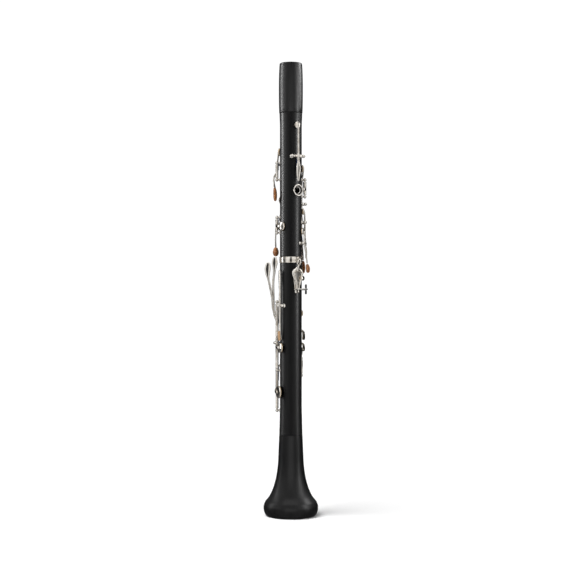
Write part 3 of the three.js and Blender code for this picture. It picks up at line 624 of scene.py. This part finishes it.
def light_only(light, names):
    """Makes a light shine on the named pieces and nothing else, as highlights."""
    receivers = bpy.data.collections.new(light.name + "_receivers")
    for name in names:
        receivers.objects.link(bpy.data.objects[name])
    light.light_linking.receiver_collection = receivers
    light.visible_diffuse = False


def make_lights():
    """Strips for the black wood, dimmer ones for the metal, a ceiling, and an even key light."""
    for k, (angle, distance, height, size, *powers) in enumerate(STRIPS):
        for (group, names), power in zip(LIT_TOGETHER.items(), powers):
            if power:
                name = f"{group}_strip_{k}"
                light_only(area_light(name, angle, distance, height, size, power, 0.7 * height), names)
    for name, angle, power in (("metal_left", -96, 2.4), ("metal_right", 80, 1.6)):
        area_light(name, angle, 1.1, 0.6, (0.3, 1), power, 0.5).visible_diffuse = False
    area_light("ceiling", 0, 0.05, 2.2, (2, 2), 12, 0.2).visible_diffuse = False
    soft_sun("soft_key", strength=2.6, spread=30, angle=VIEW_ANGLE - 64, elevation=64)


# ---- Wooden body ----

def stub(phi, z, radius, outer=19):
    """A rod that cuts a tone hole, out from inside the bore."""
    return bar(at(phi, 5, z), at(phi, outer, z), radius, 48, 0.01)


def seat(phi, z, outer, inner, top, lip=0.35):
    """A raised collar with a round lip round a tone hole, sunk in the wood."""
    profile = [(inner, 12), (outer, 12), (outer, top - lip), (outer - lip * 0.3, top - lip * 0.3),
               (outer - lip, top), (inner + 0.25, top), (inner, top - 0.3)]
    return revolve(profile, UP * z, outward(phi), 64, closed=True)


def hole_stubs(low, high):
    """The bores of the tone holes between two heights."""
    padded = [(phi, z, radius - PAD_OVERLAP) for phi, z, radius in PADS.values() if low < z < high]
    fingered = [hole for hole in RINGED_HOLES + [PLAIN_HOLE] if low < hole[1] < high]
    return [stub(*hole) for hole in padded + fingered]


def tone_hole_seats(low, high):
    """The raised wooden seats: narrow for the padded holes, tall for the ringed ones."""
    shells = []
    for key, (phi, z, radius) in PADS.items():
        if key != "register_key" and low < z < high:
            shells.append(seat(phi, z, radius - SEAT_OVERLAP, radius - PAD_OVERLAP, PAD_SEAT))
    for phi, z, radius in RINGED_HOLES:
        if low < z < high:
            shells.append(seat(phi, z, RING_IN - 0.7, radius, CHIMNEY_TOP - 0.05, 0.6))
    return shells


def tenon(rim, tip, shoulder):
    """Outline of a tenon with a cork groove, from the tip to the shoulder."""
    way = 1 if shoulder > tip else -1
    start, end = tip + way * 2.5, shoulder - way * 3
    return [(rim - 0.5, tip), (rim, tip + way * 0.5), (rim, start), (rim - 0.9, start),
            (rim - 0.9, end), (rim, end), (rim, shoulder)]


def turned_piece(name, outline, look, node, body="body"):
    return piece(name, [revolve(outline, sides=FINE, closed=True)], body, look, [node])


def barrel_piece():
    outline = [(11.1, TOP - 0.4), (11.4, TOP), (13.6, TOP), *arc((13.5, TOP - 1.35), 1.35, 80, 10),
               (15.05, 591.2), (15.34, 587), (15.56, 581), (15.75, 575), (15.84, 567), (15.86, 559),
               (15.84, 551), (15.74, 543), (15.58, 536), (15.34, BARREL_FOOT + 0.5), (15.1, BARREL_FOOT),
               (11.3, BARREL_FOOT), (11.3, 545.7), (BORE, 545.7), (BORE, TOP - 17.5), (11.1, TOP - 17.5)]
    turned_piece("wood_barrel", outline, BLACK, "barrel", "barrel")


def upper_joint_piece():
    shoulder = BARREL_FOOT - GAP
    foot = SPLIT - 21.5
    outline = [(BORE, foot), *tenon(11.7, foot, SPLIT), (14.2, SPLIT), (BODY, SPLIT + 0.25), (BODY, 512),
               (14.55, 518), (14.82, 523.4), (15.02, shoulder - 0.4), (14.8, shoulder),
               *tenon(10.7, shoulder + 16, shoulder)[::-1], (BORE, shoulder + 16)]
    made = turned_piece("wood_upper_joint", outline, BLACK, "upper_joint")
    vents = [stub(*THUMB_HOLE[:2], 5.8, 20), stub(*PADS["register_key"][:2], 3.3, 20)]
    drill(made, hole_stubs(SPLIT, BARREL_FOOT) + vents)


def lower_joint_piece():
    top = SPLIT - GAP
    outline = [(9.6, 85.4), *tenon(11.95, 85.4, BELL_SEAM), (15.2, BELL_SEAM), (15.3, BELL_SEAM + 0.1),
               (15.1, 113), (14.93, 119), (14.75, 127), (14.6, 135), (14.46, 141), (BODY, 148),
               (BODY, top - 8.3), (13.8, top - 8.3), (13.8, top), (12.3, top), (12.3, 318.8),
               (BORE, 318.8), (BORE, 180)]
    made = turned_piece("wood_lower_joint", outline, BLACK, "lower_joint")
    drill(made, hole_stubs(BELL_SEAM, SPLIT))


def bell_piece():
    top = BELL_SEAM - GAP
    outer = [(31.9, 0.4), (33.1, 1.2), (34.45, 3.3), (35.3, 5.6), (35.8, 8.2), (35.95, 11), (35.75, 13.2),
             (35.2, 15.1), (34.3, 17.2), (33.3, 19.1), (30.1, 23), (27.4, 27), (23.8, 34.9), (21.3, 42.8),
             (19.4, 50.7), (18.1, 58.6), (17.3, 65.5), (16.8, 71.8), (16.45, 80), (16.15, 88),
             (15.75, 97), (15.3, top - 0.1)]
    inner = [(11.5, 84.6), (12.2, 62), (13.6, 50), (15.8, 40), (18.9, 30), (22.6, 21.6), (26.3, 14),
             (29.2, 8), (31, 2)]
    outline = [(31.3, 0), *smooth_rows(outer, 3), (15.2, top), (12.55, top), (12.55, 85.1),
               *smooth_rows(inner, 3)]
    turned_piece("wood_bell", outline, BLACK, "bell")


def socket_ring_piece():
    """The turned ring round the lower joint's socket, with a bead at each edge."""
    top = SPLIT - GAP
    foot = top - 8
    outline = [(14.1, foot), (14.75, foot), *arc((14.75, foot + 0.55), 0.45, -70, 80),
               (14.9, foot + 1.3), (15.05, foot + 4), (14.9, top - 1.3),
               *arc((14.75, top - 0.55), 0.45, -80, 70), (14.75, top), (14.1, top)]
    turned_piece("socket_band", outline, SILVER, "socket_ring")


# Radius, foot and top of the cork on each tenon.
TENON_CORKS = {"top_cork_ring": (11, 532.5, 542.4), "middle_cork_ring": (12, 321.9, 337.3),
               "bell_cork_ring": (12.25, 88.2, 103.1)}


def cork_pieces():
    for name, (radius, low, high) in TENON_CORKS.items():
        outline = [(radius - 0.85, low), (radius - 0.3, low), (radius, low + 0.4), (radius, high - 0.4),
                   (radius - 0.3, high), (radius - 0.85, high)]
        piece(name, [revolve(outline, sides=96, closed=True)], "body", CORK,
              [name.replace("cork_ring", "tenon_cork")])


def vent_tube(name, phi, z, outer, opening, top):
    outline = [(opening, 8), (outer, 8), (outer, top - 0.8), (outer + 0.1, top - 0.7),
               (outer - 0.25, top), (opening + 0.3, top), (opening, top - 0.3)]
    piece(name + "_lining", [revolve(outline, UP * z, outward(phi), 64, closed=True)], "body", SILVER,
          [name])


def seat_pieces():
    for name, low, high in (("upper_seats", SPLIT, BARREL_FOOT), ("lower_seats", BELL_SEAM, SPLIT)):
        piece(name, tone_hole_seats(low, high), "body", BLACK)


def build_body():
    barrel_piece()
    upper_joint_piece()
    lower_joint_piece()
    bell_piece()
    socket_ring_piece()
    cork_pieces()
    vent_tube("thumb_tube", *THUMB_HOLE[:2], 5.5, THUMB_HOLE[2], CHIMNEY_TOP)
    vent_tube("register_tube", *PADS["register_key"][:2], 3, 1.6, REGISTER_SEAT)
    seat_pieces()


# ---- Posts and rods ----

def ball(centre, radius):
    turns = [radians(a) for a in range(-75, 90, 15)]
    profile = [(radius * cos(t), radius * sin(t)) for t in turns]
    return revolve([(0, -radius), *profile, (0, radius)], centre, UP, 32)


def post(head):
    """A turned post with a round foot let into the wood, a waisted neck and a ball head."""
    away = Vector((head.x, head.y, 0))
    height = away.length - POST_FOOT
    away.normalize()
    profile = [(0, 0), (2.5, 0), (2.5, 0.62), (2.32, 0.82), (1.5, 0.95), (1.2, 1.3), (1.12, height / 2),
               (1.3, height - 1.9), (1.5, height - 1.5), (0, height - 1.2)]
    foot = Vector((0, 0, head.z)) + away * POST_FOOT
    return [revolve(profile, foot, away, 28), ball(head, BALL)]


def slotted_head(face, away, across, radius, height):
    """A screw head in two halves, with its slot between them."""
    slot = 0.14
    flat = across.cross(away)
    turns = [radians(15 * k) for k in range(-6, 7)]
    halves = []
    for way in (1, -1):
        rim = [across * (way * (slot + (radius - slot) * cos(t))) + flat * (radius * sin(t))
               for t in turns]
        inset = [p * 0.88 + across * (way * slot * 0.12) for p in rim]
        halves.append(loft([[face + p for p in rim], [face + away * height * 0.7 + p for p in rim],
                            [face + away * height + p for p in inset]]))
    return halves


def point_screw(head, away):
    """The slotted end of a point screw in a ball head."""
    across = away.cross(Vector((head.x, head.y, 0)).normalized()).normalized()
    return slotted_head(head + away * (BALL - 0.15), away, across, 1.05, 0.42)


def axle_shells(heads):
    """A rod through its posts' heads, with a screw at each end."""
    way = (heads[-1] - heads[0]).normalized()
    shells = [bar(heads[0], heads[-1], ROD)]
    for head in heads:
        shells += post(head)
    return shells + point_screw(heads[0], -way) + point_screw(heads[-1], way)


def build_axles():
    for name, rod in (AXIAL_RODS | CROSS_RODS).items():
        piece(name + "_posts", axle_shells(on_rod(name, rod[-1])), "body", SILVER, [name + "_axle"], 50)


# ---- Keys ----

# How far each open-standing key stands from its shut place, in degrees.
OPEN = {"thumb_ring_key": -6.5, "upper_ring_key": 8.5, "middle_ring_key": 8.5, "lower_ring_key": 9,
        "f_key": 6.1, "e_key": 12.5, "f_sharp_key": 13, "left_e_lever": 12.5, "left_f_sharp_lever": 13}


def ring_arm(rod, z, ring_z, reach=14.4):
    """The arm from a rod to a ring or cup in front of it."""
    phi = AXIAL_RODS[rod][0]
    return [(phi, 18.9, z, 5.4, 2), (phi + 8, 19, (z + ring_z) / 2, 4, 1.8),
            (phi + reach + 4, 17.7, ring_z, 4.4, 1.4)]


def crossing(z, start_z, end):
    """A right hand pinky arm across the front, ending under the left hand key's foot."""
    level = [(phi, 16.2, z, 3, 1.4) for phi in (-17, 0, 17, end)]
    return [(-54, 18, start_z, 5, 2), (-45, 17, (z + start_z) / 2, 3.8, 1.8), (-34, 16.3, z, 3, 1.4),
            *level]


# Each key: its rod, where its tube lies along the rod, its bars and its finger rings.
KEYS = {
    "register_key": {
        "rod": "register", "tube": (-6, 6), "bars": [
            [(180, 18.9, 439.5, 2.8, 1.3), (180, 19.1, 444, 4.4, 1.6), (180, 19.4, 451, 6.7, 1.7),
             (180, 19.6, 457, 6.6, 1.8), (180, 19.6, 464.5, 3.4, 2.1), (180, 19.2, 471.5, 3.4, 3.2),
             (180, 19.4, 478, 2.5, 2.1), (180, 19.2, 500, 2.3, 1.9), (180, 19.3, 509.5, 2.4, 1.7)]]},
    "thumb_ring_key": {
        "rod": "thumb_ring", "tube": (422.1, 438.9), "rings": [THUMB_HOLE], "bars": [
            [(-123, 18.9, 430, 7, 2), (-136, 19.4, 429.4, 4.6, 1.8), (-148, 18.8, 428.4, 4, 1.7),
             (-155, 17.5, 427.8, 4.6, 1.4)]]},
    "throat_a_key": {
        "rod": "throat_a", "tube": (-2.8, 2.8), "bars": [
            [(8, 19, 431.6, 3.6, 1.4), (8, 19.2, 436, 6, 1.7), (8, 19.2, 444, 4.6, 1.8),
             (8, 19, 454, 3.2, 2), (8, 18.6, 463, 3.6, 3), (8, 18.7, 475, 3, 2),
             (8, 18.6, 498, 3, 1.8)]]},
    "throat_g_sharp_key": {
        "rod": "throat_g_sharp", "tube": (444.6, 461.4), "normal": {1: sideways(115)}, "bars": [
            [(57, 18.9, 456, 5, 2), (46, 19, 459.5, 4, 1.8), (37, 18.8, 468, 3.4, 1.8),
             (32, 18.5, 478, 3, 1.8)],
            [(59, 19.6, 450, 3, 1.6), (66, 22.6, 444, 2.6, 1.6), (68, 22.4, 437, 3, 1.6),
             (68, 21.6, 431.5, 4, 1.6)]]},
    "upper_ring_key": {
        "rod": "upper_stack", "tube": (408.6, 449.4), "rings": [RINGED_HOLES[0]], "bars": [
            [(-42, 18.9, 440, 5, 2), (-33, 19, 439, 3.8, 1.8), (-23, 18.6, 437, 3, 1.6)],
            ring_arm("upper_stack", 419, 417)]},
    "middle_ring_key": {
        "rod": "upper_stack", "tube": (349.6, 403.4), "rings": [RINGED_HOLES[1]], "bars": [
            [(-42, 18.9, 401, 4, 2), (-32, 19, 402, 3.4, 1.8), (-21, 18.6, 403.5, 3, 1.6)],
            [(-42, 19.6, 355, 3.4, 2), (-42, 22, 351, 3.4, 1.6), (-42, 22.6, 342, 3.4, 1.5),
             (-40, 23.4, 334.4, 4, 1.4)],
            ring_arm("upper_stack", 390, 391)]},
    "cross_key": {
        "rod": "cross", "tube": (369.4, 376.6), "bars": [
            [(-23, 18.5, 374, 3, 1.6), (-14, 19, 373.5, 3.6, 1.8), (-6, 19, 373.5, 4.4, 2)],
            [(-6, 19, 373.5, 4.4, 2), (6, 19.8, 373.4, 4, 1.6), (17, 18.8, 373.8, 6, 1.5),
             (23, 17.9, 374, 4.6, 1.3)]]},
    "c_sharp_key": {
        "rod": "c_sharp", "tube": (374.6, 389.4), "bars": [
            [(62, 18.9, 382, 7, 2), (73, 19.4, 381, 5, 1.8), (86, 19, 380.2, 4, 1.7),
             (97, 18.5, 380, 3.2, 1.6)],
            [(62, 19, 378, 6, 2), (52, 20, 377, 4, 1.8), (46, 20.6, 371, 3.2, 1.8),
             (44, 21, 362, 3, 1.8), (42, 21, 354.6, 5, 1.6)]]},
    "side_key_1": {
        "rod": "trill", "tube": (0.1, 3.1), "bars": [
            [(-69, 18.4, 473, 3, 1.6), (-69, 18.6, 464, 2.8, 1.8), (-69, 18.6, 410.2, 2.8, 2.4),
             (-68, 18.6, 370, 2.8, 1.8), (-67, 20, 356, 4, 1.6)]]},
    "side_key_2": {
        "rod": "trill", "tube": (-6.6, -0.4), "bars": [
            [(-96, 18.4, 457, 3, 1.6), (-88, 18.8, 449, 3, 1.8), (-81, 18.6, 438, 2.8, 1.8),
             (-80.5, 18.6, 410.2, 2.8, 2.4), (-80.5, 18.6, 370, 2.8, 1.8),
             (-83, 19.6, 352, 2.8, 1.8), (-83, 20.4, 337, 3.4, 1.6)]]},
    "side_key_3": {
        "rod": "side_3", "tube": (-2.7, 2.7), "bars": [
            [(-112, 18.4, 399, 3.4, 1.6), (-110, 18.8, 385.5, 3.6, 2.6), (-106, 19.4, 371, 3, 1.8),
             (-105, 20.6, 356, 4, 1.6)]]},
    "side_key_4": {
        "rod": "side_4", "tube": (-2.7, 2.7), "bars": [
            [(-136, 18.4, 373, 3.4, 1.6), (-136, 18.8, 358, 3.6, 2.6), (-129, 20.2, 344, 3, 1.8),
             (-124, 21.4, 332.6, 3.4, 1.6)]]},
    "lower_ring_key": {
        "rod": "lower_stack", "tube": (252.1, 322.4), "rings": RINGED_HOLES[2:], "bars": [
            [(-38, 18.9, 315, 5, 2), (-24, 19.2, 316, 4, 1.8), (-7, 18.6, 317, 3, 1.6)],
            [(-38, 19.6, 317, 3.4, 2), (-38, 22, 320.6, 3.4, 1.6), (-38, 22, 330, 3.4, 1.5),
             (-38, 20.6, 333.6, 4, 1.4)],
            *[ring_arm("lower_stack", z + 2, z + 0.6, 10.4) for _, z, _ in RINGED_HOLES[2:]]]},
    "fork_key": {
        "rod": "fork", "tube": (260.1, 271.9), "bars": [
            [(-83, 18.5, 266, 3.2, 1.6), (-70, 19, 266, 4, 1.8), (-58, 19, 266, 5, 2)],
            [(-58, 19.4, 266, 5, 2), (-50, 21.8, 266, 4.4, 1.6), (-40, 23.2, 266, 4.4, 1.6),
             (-29, 22, 266, 5, 1.6), (-23, 20.6, 266, 5.2, 1.5)]]},
    "a_flat_key": {
        "rod": "right_pinky", "tube": (239.3, 243.9), "bars": [
            [(-54, 19, 241.6, 4.4, 2), (-43, 19.8, 240, 3.6, 1.8), (-30, 19, 237.4, 3.4, 1.8),
             (-19, 18.6, 236, 3, 1.6)],
            [(-54, 19.4, 241.6, 4, 2), (-66, 21, 242.8, 3, 1.6), (-78, 20.8, 242.4, 3.4, 1.6),
             (-88, 20.2, 238.4, 6.4, 1.6), (-89.5, 19.8, 232.6, 7.2, 1.5)]]},
    "f_key": {
        "rod": "f", "tube": (186.1, 203.4), "bars": [
            [(-80, 18.9, 190, 6, 2), (-66, 18.9, 190, 4.6, 1.8), (-50, 18.5, 190, 4, 1.8),
             (-28, 18.5, 190, 4, 1.8), (-10, 18.6, 190, 4, 1.7)],
            [(-80, 19.2, 196, 5, 2), (-73, 20.6, 198, 4, 1.7), (-67, 20.8, 206, 3.2, 1.6),
             (-70, 20.8, 211.4, 5, 1.6), (-69.5, 20.8, 216, 6, 1.6),
             (-69.5, 20.8, 219.4, 5.4, 1.4)]]},
    "e_key": {
        "rod": "left_e", "tube": (140.6, 194.4), "bars": [
            [(51, 18.9, 165, 8, 2), (64, 19.6, 164, 6, 1.8), (78, 19.2, 163.2, 5, 1.8),
             (91, 18.7, 163, 4, 1.6)]]},
    "f_sharp_key": {
        "rod": "left_f_sharp", "tube": (193.6, 230.4), "bars": [
            [(66, 18.9, 223, 6, 2), (79, 19.6, 222, 5, 1.8), (99, 18.7, 221, 4, 1.6)],
            [(66, 19.2, 227, 4, 2), (60, 22, 227, 3.6, 1.6), (51, 23.8, 227, 3.6, 1.6),
             (43, 23, 227, 3.6, 1.6), (38, 21.6, 227, 3.6, 1.5)]]},
    "left_e_lever": {
        "rod": "left_e", "tube": (199.6, 270.9), "normal": {0: sideways(75)}, "bars": [
            [(52, 19.4, 257, 3, 2), (53, 22.6, 267, 3, 2), (55, 22.9, 284, 3.2, 2),
             (62, 22.6, 306, 3.2, 1.9), (66, 21.2, 317, 3.2, 1.8), (66, 20.6, 325, 4.8, 1.7),
             (66, 20.4, 332, 7.8, 1.7), (66, 20.2, 338.4, 5.6, 1.6)],
            [(51, 19, 217.4, 4, 2), (44, 20.2, 217.4, 3.6, 1.6), (36, 20.6, 217.4, 3.6, 1.6),
             (30, 20.2, 217.4, 3.6, 1.5)]]},
    "left_f_sharp_lever": {
        "rod": "left_f_sharp", "tube": (235.6, 278.4), "normal": {0: sideways(75)}, "bars": [
            [(66, 19.6, 263, 2.6, 2), (67, 23.4, 272, 3, 2), (68, 25, 288, 3, 2),
             (68, 28, 303, 3, 1.9), (68, 29.8, 312, 3.4, 1.8), (68, 30.6, 318, 6.2, 1.8),
             (68, 30.6, 325, 8.2, 1.8), (68, 30, 331, 6, 1.6)]]},
    "left_f_lever": {
        "rod": "left_f", "tube": (-1.7, 1.7), "bars": [
            [(93, 17.9, 321.4, 4, 1.3), (93, 17.8, 312, 4.6, 1.5), (95, 17.9, 296, 3, 1.6),
             (96, 18.4, 276, 3.4, 2.8), (96, 18.1, 252, 3, 1.6), (95, 17.6, 240, 3.4, 1.6),
             (95, 17.1, 232.6, 5, 1.5)]]},
    "right_f_sharp_key": {
        "rod": "right_pinky", "tube": (228.2, 238.7), "bars": [
            [(-54, 19.4, 234, 8.4, 1.6), (-61, 20.4, 234.4, 9.4, 1.6), (-68, 20.2, 234.6, 8.6, 1.4)],
            crossing(227, 231.4, 37)]},
    "right_e_key": {
        "rod": "right_pinky", "tube": (214.1, 225.5), "bars": [
            [(-54, 19.4, 223.6, 3, 1.6), (-66, 21, 225.6, 2.6, 1.6), (-78, 20.8, 225.4, 3, 1.6),
             (-88, 20.2, 222.4, 5.4, 1.6), (-90, 19.8, 217.4, 6.2, 1.5)],
            crossing(217.4, 219.4, 30)]},
}

TOUCHES = {
    "throat_g_sharp_touch": [(68, 21.4, 429.6, 4.4, 2.4), (68, 21, 425, 6.4, 3.1), (68, 20.8, 418, 6.2, 3),
                             (68, 20.8, 415, 4.6, 2.4)],
    "c_sharp_touch": [(42, 21, 349.6, 9.6, 5.4), (41, 21.1, 348, 12.4, 6.4), (40, 21, 345.8, 13, 6)],
    "side_touch_1": [(-67, 20.2, 352.6, 5.2, 2.2), (-66, 21, 346, 7.2, 2.8), (-66, 20.7, 340, 6.2, 2.2)],
    "side_touch_2": [(-83, 20.6, 333.6, 5.2, 2.2), (-82, 21.4, 327, 7.2, 2.8), (-82, 21.1, 321, 6.2, 2.2)],
    "side_touch_3": [(-105, 20.8, 352.6, 4.8, 1.7), (-105, 21.2, 346, 5.8, 1.8), (-105, 21, 340, 5, 1.6)],
    "side_touch_4": [(-124, 21.7, 329, 5.2, 2.8), (-122, 22.5, 325, 7.2, 3.8),
                     (-121, 22.6, 321.4, 6.4, 3.4)],
}
# The direction a touch's thickness lies along, where it isn't outward.
TOUCH_NORMALS = {"throat_g_sharp_touch": sideways(115), "side_touch_4": outward(-152)}
METAL_TOUCH = "side_touch_3"


def cup_shell(phi, z, radius, foot):
    """A domed cup with a rolled rim, on the pad's back."""
    profile = [(0, 1.05), (radius - 0.35, 1.05), (radius, 1.15), (radius + 0.06, 1.45), (radius, 1.85),
               (radius - 0.3, 2.1), (radius * 0.86, 2.32), (radius * 0.68, 2.62), (radius * 0.45, 2.95),
               (radius * 0.2, 3.15), (0, 3.2)]
    return revolve(profile, at(phi, foot, z), outward(phi), 56)


def pad_shell(phi, z, radius, foot):
    """A soft disc with a bulging rim and the shallow ring its tone hole has pressed in it."""
    seat_line = radius - 1.2
    profile = [(0, 0.12), (seat_line - 0.4, 0.1), (seat_line, 0.22), (seat_line + 0.4, 0.08),
               (radius - 0.5, 0.15), (radius - 0.28, 0.5), (radius - 0.3, 0.9), (radius - 0.5, 1.12),
               (0, 1.12)]
    return revolve(profile, at(phi, foot, z), outward(phi), 56)


def ring_shell(phi, z):
    """A finger ring with rolled edges."""
    half = (RING_OUT - RING_IN) / 2
    corners = [(1, -0.42), (1, 0.42), (0.6, 0.72), (-0.6, 0.72), (-1, 0.42), (-1, -0.42), (-0.6, -0.72),
               (0.6, -0.72)]
    profile = [(RING_IN + half + x * half, 0.75 + y) for x, y in corners]
    return revolve(profile, at(phi, RING_LOW, z), outward(phi), 72, closed=True)


def key_shells(name):
    """The metal of a key in its shut place, without its cup."""
    key = KEYS[name]
    normals = key.get("normal", {})
    shells = [key_tube(*on_rod(key["rod"], key["tube"]))]
    shells += [strip(rows, normals.get(k)) for k, rows in enumerate(key["bars"])]
    shells += [ring_shell(phi, z) for phi, z, _ in key.get("rings", [])]
    return shells


def build_key(name):
    shells = key_shells(name)
    pads = []
    if name in PADS:
        foot = REGISTER_SEAT + 0.3 if name == "register_key" else PAD_SEAT + 0.1
        shells.append(cup_shell(*PADS[name], foot))
        pads.append(pad_shell(*PADS[name], foot))
    if name in OPEN:
        rod = KEYS[name]["rod"]
        shells = turned_about(shells, rod, -OPEN[name])
        pads = turned_about(pads, rod, -OPEN[name])
    piece(name + "_plate", shells, name, SILVER, [name], 42)
    if pads:
        piece(name + "_pad", pads, name, PAD)


def build_keys():
    for name in KEYS:
        build_key(name)
    for name, rows in TOUCHES.items():
        shells = [strip(rows, TOUCH_NORMALS.get(name), steps=9, sides=28, square=0.72)]
        kind, look = ("_plate", SILVER) if name == METAL_TOUCH else ("_wood", WOOD)
        piece(name + kind, shells, name.replace("touch", "key"), look, [name], 50)


# ---- Thumb rest ----

STRAP_RING = (Vector((0, 20.4, 333.4)), 4.2, 0.9)  # centre, radius and the wire's radius
SCREW_ANGLE = -164
SCREW_HEIGHT = 312
STUD_TIP = Vector((-7, 26.4, 291))


def strap_ring():
    centre, radius, wire = STRAP_RING
    turns = [radians(a) for a in range(0, 360, 24)]
    profile = [(radius + wire * cos(t), wire * sin(t)) for t in turns]
    return revolve(profile, centre, Vector((1, 0, 0)), 64, closed=True)


def hook_ribs():
    """The raised edges of the sliding plate, down both sides and across its top."""
    out = outward(180)
    sides = [strip([(180 + side * 20.3, 19.6, 319.6, 2.2, 1.6), (180 + side * 15, 19.3, 312, 1.8, 1.5),
                    (180 + side * 7.5, 18.9, 303, 1.5, 1.4)], out) for side in (-1, 1)]
    top = strip([(199.5, 19.5, 320.2, 1.7, 1.5), (180, 18.6, 320.8, 1.7, 1.5),
                 (160.5, 19.5, 320.2, 1.7, 1.5)], out)
    return [*sides, top]


def thumb_hook_piece():
    slider = strip([(180, 17.4, 324.6, 7, 1.8), (180, 17.5, 322.6, 14, 2), (180, 17.5, 318.4, 17, 2),
                    (180, 17.5, 312, 13, 2), (180, 17.5, 304, 7.4, 2), (180, 17.5, 298, 6.4, 2)])
    shelf = strip([(180, 17.4, 297.3, 13, 2.2), (180, 21, 297.2, 17.4, 2.2), (180, 25, 297.2, 19, 2.1),
                   (180, 27.4, 297.4, 17.6, 1.9)], UP, sides=28, square=0.5, ends=(False, True))
    stem = strip([(180, 18, 322.4, 4.4, 2), (180, 19, 326, 3.4, 2), (180, 20, 329, 2.8, 1.9)])
    piece("thumb_hook", [slider, shelf, stem, strap_ring(), *hook_ribs()], "thumb_rest_hook", SILVER,
          ["thumb_rest_hook"], 50)


def thumb_screw_piece():
    profile = [(0, 0), (2.9, 0), (3.2, 0.3), (3.2, 1.45), (2.95, 1.75), (0, 1.95)]
    foot = at(SCREW_ANGLE, 20.2, SCREW_HEIGHT)
    head = piece("thumb_screw", [revolve(profile, foot, outward(SCREW_ANGLE), 48)], "thumb_rest_screw",
                 SILVER, ["thumb_rest_screw"])
    ends = [(SCREW_ANGLE, 22.1, SCREW_HEIGHT + way * 5, 0.8, 1.6) for way in (-1, 1)]
    drill(head, [strip(ends, sides=4, square=0.01)])


def thumb_stud_piece():
    profile = [(0, 0), (0.9, 0.1), (1.3, 0.7), (1.3, 4.6), (1.05, 4.9), (1.05, 8.4), (1.3, 8.7),
               (1.3, 12.3), (0.9, 12.9), (0, 13)]
    piece("thumb_stud", [revolve(profile, STUD_TIP, UP, 32)], "thumb_rest_hook", STUD,
          ["thumb_rest_stud"])


def build_thumb_rest():
    base = strip([(180, 15.4, 323.6, 6, 1.4), (180, 15.4, 319, 12.6, 1.4), (180, 15.4, 305, 9, 1.4),
                  (180, 15.4, 294.6, 7, 1.4)])
    piece("thumb_plate", [base], "body", SILVER, ["thumb_rest_base"])
    thumb_hook_piece()
    thumb_screw_piece()
    thumb_stud_piece()


# ---- Springs and small parts ----

# Needle springs: rod, height of the post that holds it, and how far it runs to the key.
NEEDLES = [("thumb_ring", 441.5, -12), ("throat_g_sharp", 464, -10), ("upper_stack", 452, -18),
           ("upper_stack", 406, -18), ("c_sharp", 392, -10), ("lower_stack", 325, -20),
           ("fork", 274.5, -8), ("right_pinky", 246.5, -12), ("f", 206, -10), ("left_e", 273.5, -20),
           ("left_e", 197, -20), ("left_f_sharp", 281, -20), ("left_f_sharp", 233, -20)]
# Leaf springs under the levers on cross rods, from the rod towards the touch: key and length.
LEAVES = [("register_key", -19), ("throat_a_key", -17), ("side_key_3", 10), ("side_key_4", 10)]


def needle(rod, z, run):
    phi = AXIAL_RODS[rod][0]
    length = abs(run)
    profile = [(0, 0), (0.34, 0), (0.26, length * 0.9), (0.1, length), (0, length)]
    start = at(phi + 3, 15.9, z)
    return revolve(profile, start, at(phi + 4, 16.05, z + run) - start, 10)


def leaf(key, run):
    phi, rho, z = CROSS_RODS[KEYS[key]["rod"]][:3]
    rows = [(phi, rho - 1.7, z, 2.6, 0.35), (phi, rho - 2.3, z + run * 0.5, 2.4, 0.35),
            (phi, 14.75, z + run, 2.2, 0.35)]
    return strip(rows, ends=(False, False))


def build_small_parts():
    piece("needle_springs", [needle(*row) for row in NEEDLES], "body", STEEL)
    piece("leaf_springs", [leaf(key, run) for key, run in LEAVES], "body", STEEL)
    bumper = strip([(95.5, 19.4, 241.6, 3.8, 1.8), (95, 19.2, 236, 4.8, 2), (95, 18.8, 231.6, 4.6, 1.6)])
    piece("left_f_lever_cork", [bumper], "left_f_lever", CORK)
    screws = []
    for z in (301.5, 306):
        screws += slotted_head(at(180, 18.3, z), outward(180), UP, 1.5, 0.5)
    piece("thumb_hook_screws", screws, "thumb_rest_hook", SILVER)


# ---- The scene ----

bpy.context.scene.view_settings.view_transform = "Standard"
make_camera()
make_floor()
make_world()
build_body()
build_axles()
build_keys()
build_thumb_rest()
build_small_parts()
make_lights()
